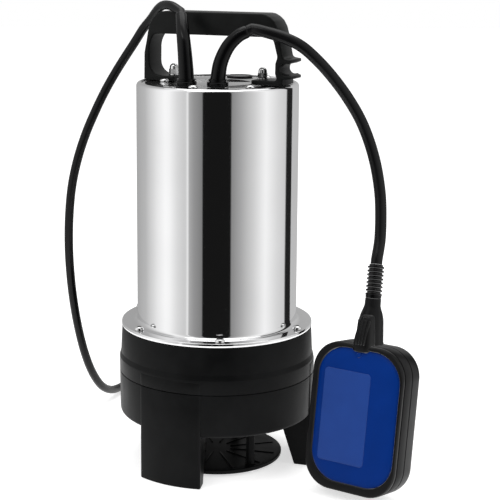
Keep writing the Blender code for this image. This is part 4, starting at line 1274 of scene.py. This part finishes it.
# ---- Pump end ----
@dataclass
class PumpEnd:
    """Upper and lower casing, legs, suction plate and the outlet behind.

    Args:
        seam: height of the joint between the casings.
        leg_inner: inner radius of the legs.
        leg_span: the degrees that a leg takes up.
        gusset: thickness of the ribs at a leg's ends.
        plate_top: upper face of the suction plate.
        plate_foot: its lower face.
        post_circle: the posts' distance from the shaft.
        bore: radius of the elbow's bore.
    """

    seam: float = 0.0822
    bottom: float = 0.0447
    leg_radius: float = 0.0862
    leg_inner: float = 0.0820
    leg_span: float = 40.0
    leg_angles: tuple[float, ...] = (-29.0, 91.0, 211.0)
    outlet_height: float = 0.0610
    gusset: float = 0.0034
    plate_top: float = 0.0066
    plate_foot: float = 0.0027
    post_circle: float = 0.0480
    post_angles: tuple[float, ...] = (38.0, 158.0, 278.0)
    bore: float = 0.0130

    def build(self) -> None:
        """Makes the casings, the suction plate, the elbow and its nut."""
        self._upper()
        self._lower()
        self._suction()
        self._elbow()
        self._nut()

    @property
    def outlet(self) -> Matrix:
        """Turns a shape about Z so that it stands on the outlet's own axis."""
        return at(0, 0, self.outlet_height) @ spun(-90, "X")

    def _panel(self, middle: float, low: float, high: float, inner: float) -> Shape:
        """Makes one leg's curved panel with eased edges.

        Args:
            middle: its middle, in degrees round the pump.
            low: its lower end.
            high: its upper end.
            inner: its inner radius.

        Returns:
            The panel.
        """
        width, thick = radians(self.leg_span) * self.leg_radius, self.leg_radius - inner
        shape = moved(soft_box((width, thick, high - low), 0.0009, 22), at(0, -thick / 2, (low + high) / 2))
        return bent(shape, self.leg_radius, middle)

    def _upper(self) -> None:
        """The ring under the flange, with its stepped belt and the tops of the leg pads."""
        profile = eased([(0.0748, 0.1226, 0), (0.0834, 0.1226, 0.0006), (0.0846, 0.0992, 0.003),
                         (0.0858, 0.0950, 0.002), (0.0858, 0.0826, 0.0004), (0.0780, 0.0825, 0)],
                        6, closed=False)
        profile += [(0.0780, 0.0846), (0.0175, 0.0846), (0.0175, 0.0905), (0.0720, 0.0905), (0.0720, 0.1200),
                    (0.0748, 0.1200)]
        pads = [self._panel(angle, 0.0826, 0.0932, 0.0815) for angle in self.leg_angles]
        piece("upper_casing_moulded", gathered([lathe(profile, 192), *pads]), CASING, "upper_casing")

    def _gusset(self, angle: float) -> Shape:
        """Returns the tapered rib at one end of a leg."""
        head = self.bottom + 0.002
        corners = [(0.0838, 0.0, 0.001), (0.0838, head, 0), (0.0570, head, 0), (0.0638, 0.0260, 0.03),
                   (0.0725, 0.0, 0.0012)]
        return slab(eased(corners, 6), self.gusset, 0.0007, spun(angle - 90, "Z") @ spun(90, "X"))

    def _lower(self) -> None:
        """The pump chamber with its legs, ribs and outlet branch."""
        floor = self.bottom + 0.0040
        profile = eased([(0.0810, self.seam, 0), (0.0858, self.seam - 0.0001, 0.0004),
                         (0.0853, self.bottom, 0.0035), (0.0240, self.bottom, 0.0010),
                         (0.0240, floor, 0.0008)], 6, closed=False)
        shapes = [lathe(profile + [(0.0810, floor)], 192)]
        reach = self.leg_span / 2 - degrees(asin(self.gusset / 2 / self.leg_radius))
        for angle in self.leg_angles:
            shapes.append(self._panel(angle, 0.0, self.seam, self.leg_inner))
            shapes += [self._gusset(angle - reach), self._gusset(angle + reach)]
        branch = eased([(0.0155, 0.0780, 0), (0.0155, 0.1000, 0.0005), (0.0205, 0.1000, 0.0008),
                        (0.0205, 0.0900, 0), (0.0215, 0.0840, 0.002), (0.0215, 0.0780, 0)], 4)
        shapes.append(lathe(branch, 72, self.outlet))
        piece("lower_casing_moulded", gathered(shapes), CASING, "volute_casing")

    def _suction(self) -> None:
        """The suction plate with its rim, its posts and radial ribs."""
        top, foot = self.plate_top, self.plate_foot
        rim = eased([(0.0500, top, 0), (0.0582, top, 0.0007), (0.0582, foot, 0.0016), (0.0500, foot, 0)],
                    4, closed=False)
        shapes = [lathe([(0.0, top), *rim, (0.0, foot)], 120)]
        post = [(0.0, 0.0444), (0.0034, 0.0444), (0.0037, 0.0440), (0.0037, 0.0110), (0.0045, 0.0070),
                (0.0052, 0.0060), (0.0, 0.0060)]
        for angle in self.post_angles:
            shapes.append(lathe(post, 36, Matrix.Translation(polar(self.post_circle, angle))))
        piece("suction_plate_moulded", gathered(shapes), CASING, "suction_plate")
        layout = RoundOf(12, 0.0330, 15.0, (0.0, 0.0, top))
        piece("suction_plate_ribs", layout.build(soft_box((0.0400, 0.0012, 0.0012), 0.0003), CASING), CASING)

    def _elbow(self) -> None:
        """The elbow and its barbed hose tail, hollow right through."""
        start, bend, level = 0.1003, 0.0210, self.outlet_height
        upright = start + 0.0090 + bend
        middle = (upright - bend, level + bend)
        barbs = [(0.0950, 0.0190), (0.0962, 0.0178), (0.1066, 0.0178), (0.1072, 0.0197), (0.1080, 0.0194),
                 (0.1180, 0.0165), (0.1236, 0.0165), (0.1242, 0.0182), (0.1250, 0.0179), (0.1340, 0.0155),
                 (0.1394, 0.0155), (0.1400, 0.0168), (0.1408, 0.0165), (0.1494, 0.0151), (0.1500, 0.0146)]
        line = [(start, level), (0.1036, level), (0.1038, level), *arc(middle, bend, -90, 0, 24)]
        radii = [0.0203, 0.0203] + [0.0190] * (len(line) - 2) + [radius for _, radius in barbs]
        line += [(upright, height) for height, _ in barbs]
        bore = [(start - 0.002, level), *arc(middle, bend, -90, 0, 16), (upright, 0.152)]
        outside, inside = [[Vector((0, y, z)) for y, z in points] for points in (line, bore)]
        shape = carved(tube(outside, radii, 64), [tube(inside, self.bore, 48)])
        piece("elbow_moulded", shape, CASING, "discharge_elbow")

    def _nut(self) -> None:
        """The union nut with its gripping ribs."""
        profile = eased([(0.0208, 0.0895, 0.0003), (0.0208, 0.1042, 0), (0.0194, 0.1042, 0),
                         (0.0194, 0.1072, 0.0003), (0.0238, 0.1072, 0.0010), (0.0238, 0.0895, 0.0010)], 4)
        piece("union_nut", lathe(profile, 96, self.outlet), CASING, "outlet_nut")
        layout = RoundOf(24, 0.0237, 0.0, (0.0, 0.0, 0.0983))
        ribs = layout.build(soft_box((0.0022, 0.0032, 0.0160), 0.0006), CASING, self.outlet)
        piece("union_nut_ribs", ribs, CASING)


# ---- Handle ----
@dataclass
class CarryHandle:
    """The black handle with its cord clip, and the acorn nuts that hold it.

    Its side runs from the cord clip to the top of the grip, and its half is half its width.
    """

    turn: float = -25.0
    depth: float = 0.0240
    underside: float = 0.3762
    half: float = 0.0655
    nut_reach: float = 0.0420
    nut_seat: float = 0.3403
    side: tuple[Row, ...] = (
        (0.0652, 0.3592), (0.0643, 0.3640), (0.0631, 0.3695), (0.0616, 0.3780), (0.0597, 0.3845),
        (0.0568, 0.3898), (0.0530, 0.3931), (0.0492, 0.3951), (0.0460, 0.3957),
    )

    def outline(self) -> Profile:
        """Draws the handle seen along its depth.

        Returns:
            The outline's points.
        """
        foot, foot_top, foot_end, over_rim, rim_step = 0.3358, 0.3400, 0.0363, 0.3366, 0.0635
        side = [(x, y, 0.006) for x, y in self.side]
        clip = [(x, y, 0) for x, y in arc((0.0672, 0.3500), 0.0049, -65, -295, 16)]
        return eased([
            (rim_step, foot, 0), (rim_step, over_rim, 0), (self.half, over_rim, 0),
            (self.half, 0.3412, 0.0008), (0.0725, 0.3418, 0.0008), (0.0725, 0.3442, 0.0008), *clip,
            (0.0725, 0.3558, 0.0008), (0.0725, 0.3582, 0.0008), *side,
            *[(-x, y, rounding) for x, y, rounding in reversed(side)],
            (-self.half, over_rim, 0), (-rim_step, over_rim, 0), (-rim_step, foot, 0), (-foot_end, foot, 0),
            (-foot_end, foot_top, 0.0010), (-0.0600, foot_top, 0.0125), (-0.0598, 0.3680, 0.02),
            (-0.0555, self.underside, 0.0060), (0.0555, self.underside, 0.0060), (0.0598, 0.3600, 0.006),
            (0.0580, 0.3545, 0.005), (0.0578, 0.3460, 0.005), (0.0600, foot_top, 0.0030),
            (foot_end, foot_top, 0.0010), (foot_end, foot, 0),
        ], 8)

    def build(self) -> None:
        """Makes the handle and its nuts."""
        place = spun(self.turn, "Z") @ spun(90, "X")
        shape = slab(self.outline(), self.depth, 0.0013, place)
        piece("handle_moulded", shape, HANDLE_PLASTIC, "handle", smooth=45)
        self._nuts()

    def _nuts(self) -> None:
        """Two acorn nuts on their studs, each on a flat washer."""
        shapes = []
        for side in (-1, 1):
            dome = [(0.0, 0.0100), *arc((0.0, 0.0062), 0.0038, 80, 8, 8), (0.0038, 0.0050),
                    (0.0020, 0.0050), (0.0020, 0.0012), (0.0, 0.0012)]
            body = hexagon(0.0046, 0.0042, at(0, 0, 0.0030) @ spun(15 * side, "Z"))
            bmesh.ops.bevel(body, geom=list(body.edges), offset=0.0003, segments=2, affect="EDGES")
            washer = eased([(0.0028, 0.0008, 0), (0.0046, 0.0008, 0.0002), (0.0046, 0.0, 0),
                            (0.0028, 0.0, 0)])
            stud = [(0.0, 0.0040), (0.0025, 0.0040), (0.0025, -0.0222), (0.0, -0.0222)]
            where = spun(self.turn, "Z") @ at(side * self.nut_reach, 0, self.nut_seat)
            shapes += [lathe(dome, 40, where), moved(body, where), lathe(washer, 40, where),
                       lathe(stud, 24, where)]
        piece("handle_nuts", gathered(shapes), BRIGHT, "handle_nut_left", "handle_nut_right")


# ---- Float ----
@dataclass
class FloatSwitch:
    """The float: black shells, blue face with a plain raised panel, neck and ribbed relief.

    Args:
        yaw: the degrees that its face is turned from the front.
        pitch: the degrees that its foot swings forward.
        half: half its thickness.
        face: width, height and corner radius of the blue face.
        face_middle: the face's middle, across and along.
        neck_side: how far the neck stands to one side.
        tongue_side: how far the tongue stands to one side.
        panel: width, height and corner radius of the raised panel.
        panel_middle: its middle, across and along.
        neck_length: from the end of the float to the strain relief.
        relief_foot: length of the relief's plain foot.
        relief_run: how far the ribbed part of the relief runs, in the pump's frame.
    """

    centre: Point = (0.1217, -0.0902, 0.0665)
    yaw: float = 34.6
    pitch: float = 8.8
    width: float = 0.0837
    height: float = 0.1232
    half: float = 0.0185
    corner: float = 0.0246
    face: Point = (0.0754, 0.1118, 0.0245)
    face_middle: Row = (0.0016, 0.0018)
    neck_side: float = -0.0011
    tongue_side: float = 0.0015
    panel: Point = (0.0427, 0.0768, 0.0030)
    panel_middle: Row = (-0.0078, 0.0008)
    neck_length: float = 0.0380
    relief_foot: float = 0.0016
    relief_run: Point = (0.0026, 0.0080, 0.0242)

    def frame(self) -> Matrix:
        """Works out the float's own frame.

        Returns:
            The frame: across the float, away from its face, and up its length.
        """
        yaw, pitch = radians(self.yaw), radians(self.pitch)
        across = Vector((cos(yaw), -sin(yaw), 0))
        towards = Vector((-sin(yaw), -cos(yaw), 0))
        up = Vector((0, 0, 1)) * cos(pitch) - towards * sin(pitch)
        away = -(towards * cos(pitch) + Vector((0, 0, 1)) * sin(pitch))
        return Matrix.Translation(self.centre) @ Matrix((across, away, up)).transposed().to_4x4()

    def _outer(self, rows: Profile) -> list[Ring]:
        """Returns the shell's outline at each inset and distance from the front."""
        size = (self.width, self.height, self.corner)
        return self._rings(size, (0, 0), [(-inset, depth) for inset, depth in rows])

    def _inner(self, rows: Profile) -> list[Ring]:
        """Returns the face's outline, grown by this much, at each distance from the front."""
        return self._rings(self.face, self.face_middle, rows)

    def _rings(self, size: Point, middle: Row, rows: Profile) -> list[Ring]:
        """Draws one outline at several depths.

        Args:
            size: its width, height and corner radius.
            middle: its middle, across and along the float.
            rows: how far it grows, and its distance from the float's front.

        Returns:
            A ring for each row.
        """
        rings = []
        for grown, depth in rows:
            outline = round_rect(size[0] + 2 * grown, size[1] + 2 * grown, size[2] + grown, 20)
            rings.append([Vector((middle[0] + x, depth - self.half, middle[1] + z)) for x, z in outline])
        return rings

    def _neck(self, side: int) -> Shape:
        """Makes half of the neck.

        Args:
            side: -1 for the half in front of the float's middle plane, 1 for the one behind.

        Returns:
            The half.
        """
        sections = [(0.0591, 0.0115, 0.0166), (0.0636, 0.0103, 0.0157), (0.0718, 0.0097, 0.0149),
                    (0.0818, 0.0090, 0.0134), (0.0863, 0.0083, 0.0112), (0.0898, 0.0074, 0.0088),
                    (0.0923, 0.0068, 0.0072), (0.0931, 0.0066, 0.0068), (0.0990, 0.0064, 0.0066),
                    (0.0995, 0.0061, 0.0063)]
        rings = []
        for height, wide, deep in sections:
            arch = arc((0, 0), 1, 0, 180, 24)
            rings.append([Vector((self.neck_side + wide * x, side * (deep * y + 0.00025), height))
                          for x, y in arch])
        return stack(rings)

    def _tongue(self) -> list[Shape]:
        """Makes the ribbed tongue that runs down the neck's front and over the rim.

        Returns:
            The tongue, its ribs and its pip.
        """
        sections = [(0.0561, 0.0056, 0.0196), (0.0567, 0.0070, 0.0204), (0.0578, 0.0076, 0.0208),
                    (0.0638, 0.0075, 0.0209), (0.0700, 0.0068, 0.0200), (0.0810, 0.0053, 0.0171),
                    (0.0842, 0.0047, 0.0159), (0.0858, 0.0038, 0.0141), (0.0864, 0.0024, 0.0111)]
        back, steps, side = 0.0060, 32, self.tongue_side
        rings = []
        for height, wide, front in sections:
            ring = []
            for k in range(steps):
                turn = tau * k / steps
                x, y = [abs(v) ** 0.45 * (1 if v > 0 else -1) for v in (cos(turn), sin(turn))]
                ring.append(Vector((side + wide * x, (front - back) / 2 * y - (front + back) / 2, height)))
            rings.append(ring)
        shapes = [stack(rings), self._pip(side, -0.0160, 0.0836, 0.0014)]
        for share in (-0.66, -0.22, 0.22, 0.66):
            place = at(side + share * 0.0064, -0.0190, 0.0722) @ spun(-13.0, "X") @ spun(share * 6.0, "Y")
            shapes.append(moved(soft_box((0.0011, 0.0022, 0.0205), 0.0004), place))
        return shapes

    def _pip(self, x: float, depth: float, z: float, radius: float) -> Shape:
        """Returns a small round pip."""
        shape = bmesh.new()
        bmesh.ops.create_uvsphere(shape, u_segments=16, v_segments=10, radius=radius, matrix=at(x, depth, z))
        return shape

    def relief(self) -> tuple[Vector, Vector, Vector]:
        """Places the strain relief, in the pump's frame.

        Returns:
            Its base on the neck, the foot of its ribs, and how far it runs from there.
        """
        frame = self.frame()
        base = frame @ Vector((self.neck_side, 0, self.height / 2 + self.neck_length + GAP))
        return base, base + frame.to_3x3() @ Vector((0, 0, self.relief_foot)), Vector(self.relief_run)

    def _settle(self, name: str, shapes: Iterable[Shape], look: Finish, *nodes: str,
                smooth: float = 32.0) -> None:
        """Makes one piece of the float from its shapes."""
        unmirrored(piece(name, gathered(shapes), look, *nodes, body="float", smooth=smooth))

    def build(self) -> None:
        """Makes every visible piece of the float."""
        frame, thick = self.frame(), 2 * self.half
        lip = self._inner([(0.0003, 0.0042), (0.0003, 0.0006), (0.0006, 0.0001), (0.0010, 0.0)])
        front = stack(lip + self._outer([
            (0.0017, 0.0), (0.0008, 0.0006), (0.0002, 0.0020), (0.0, 0.0046), (0.0002, 0.0050),
            (0.0009, 0.0052), (0.0009, 0.0062), (0.0002, 0.0064), (0.0, 0.0068), (0.0, 0.0177),
            (0.0003, 0.0180), (0.0008, 0.0181), (0.0009, 0.0183)]))
        rear = stack(self._outer([
            (0.0009, 0.0187), (0.0008, 0.0189), (0.0003, 0.0190), (0.0, 0.0193), (0.0, thick - 0.0078),
            (0.0004, thick - 0.0052), (0.0018, thick - 0.0026), (0.0040, thick - 0.0009),
            (0.0070, thick - 0.0002), (0.0110, thick)]))
        face = stack(self._inner([
            (0.0, 0.0040), (0.0, 0.0020), (-0.0004, 0.0015), (-0.0020, 0.0009), (-0.0050, 0.0003),
            (-0.0090, -0.0001), (-0.0130, -0.0003), (-0.0170, -0.0004)]))
        pip = self._pip(0.0007, 0.0007 - self.half, 0.0534, 0.0023)
        for name, shapes, look, node in (
            ("float_front", [front, self._neck(-1), *self._tongue()], FLOAT_BLACK, "float_front_shell"),
            ("float_rear", [rear, self._neck(1)], FLOAT_BLACK, "float_rear_shell"),
            ("float_face_moulded", [face, pip], FLOAT_BLUE, "float_face"),
        ):
            self._settle(name, [moved(shape, frame) for shape in shapes], look, node)
        side, rise = self.panel_middle
        turn = frame @ at(side, -self.half - 0.0001, rise) @ spun(90, "X")
        panel = slab(round_rect(*self.panel, 6), 0.0018, 0.0004, turn)
        self._settle("float_panel", [panel], PANEL_BLUE)
        self._relief()

    def _relief(self) -> None:
        """The ribbed strain relief between the neck and the cord."""
        base, foot, run = self.relief()
        rib = ((0.06, 0.0066), (0.12, 0.0069), (0.46, 0.0069), (0.53, 0.0066), (0.56, 0.0057),
               (0.98, 0.0057))
        ribs = 8
        rows = [(foot + run * (k + share) / ribs, radius) for k in range(ribs) for share, radius in rib]
        rows = [(base, 0.0066), (foot, 0.0066), *rows, (foot + run, 0.0055)]
        shape = tube([point for point, _ in rows], [radius for _, radius in rows], 32)
        self._settle("relief_moulded", [shape], MOULDED_RUBBER, "float_strain_relief", smooth=50)


# ---- Hidden pieces, dressed where they stand ----
class Insides:
    """Gives each hidden CAD node its finish."""

    finishes: dict[Finish, tuple[str, ...]] = {
        CORE_STEEL: ("stator_core", "rotor_core"),
        COPPER: ("upper_stator_winding", "lower_stator_winding"),
        CAST_ALUMINIUM: ("upper_bearing_bracket", "lower_bearing_bracket", "oil_chamber"),
        BRIGHT: ("upper_bearing", "lower_bearing", "motor_shaft", "impeller_nut", "float_ball",
                 "switch_lever", "suction_screw_1", "suction_screw_2", "suction_screw_3"),
        CASING: ("impeller",),
        CERAMIC: ("seal_ring", "seal_seat"),
        MOULDED_RUBBER: ("shaft_lip_seal", "casing_gasket"),
        PALE_PLASTIC: ("run_capacitor", "float_switch_block"),
        BRASS: ("plug_blade_left", "plug_blade_right", "plug_earth_pin"),
    }

    def dress(self, nodes: dict[str, Object]) -> None:
        """Puts the finishes on.

        Args:
            nodes: the frame's own objects by name.
        """
        for finish, names in self.finishes.items():
            for name in names:
                for slot in nodes[name].material_slots:
                    slot.material = finish.build()
        for name in ("float_switch_block", "float_ball", "switch_lever"):
            unmirrored(nodes[name])


def main() -> None:
    """Builds everything in order and reports each step."""
    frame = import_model()
    float_switch = FloatSwitch()
    _, foot, run = float_switch.relief()
    steps: tuple[tuple[str, Callable[[], object]], ...] = (
        ("studio", Studio().build),
        ("float lead", lambda: FloatLead().build(foot + run, run)),
        ("power lead", PowerLead().build),
        ("power boot", POWER_BOOT.build),
        ("float boot", FLOAT_BOOT.build),
        ("motor can", MotorCan().build),
        ("pump end", PumpEnd().build),
        ("handle", CarryHandle().build),
        ("float", float_switch.build),
        ("insides", lambda: Insides().dress(frame["nodes"])),
    )
    for name, build in steps:
        build()
        LOG.info("built %s", name)
    bpy.context.view_layer.update()


if __name__ == "__main__":
    logging.basicConfig(level=logging.INFO)
    main()
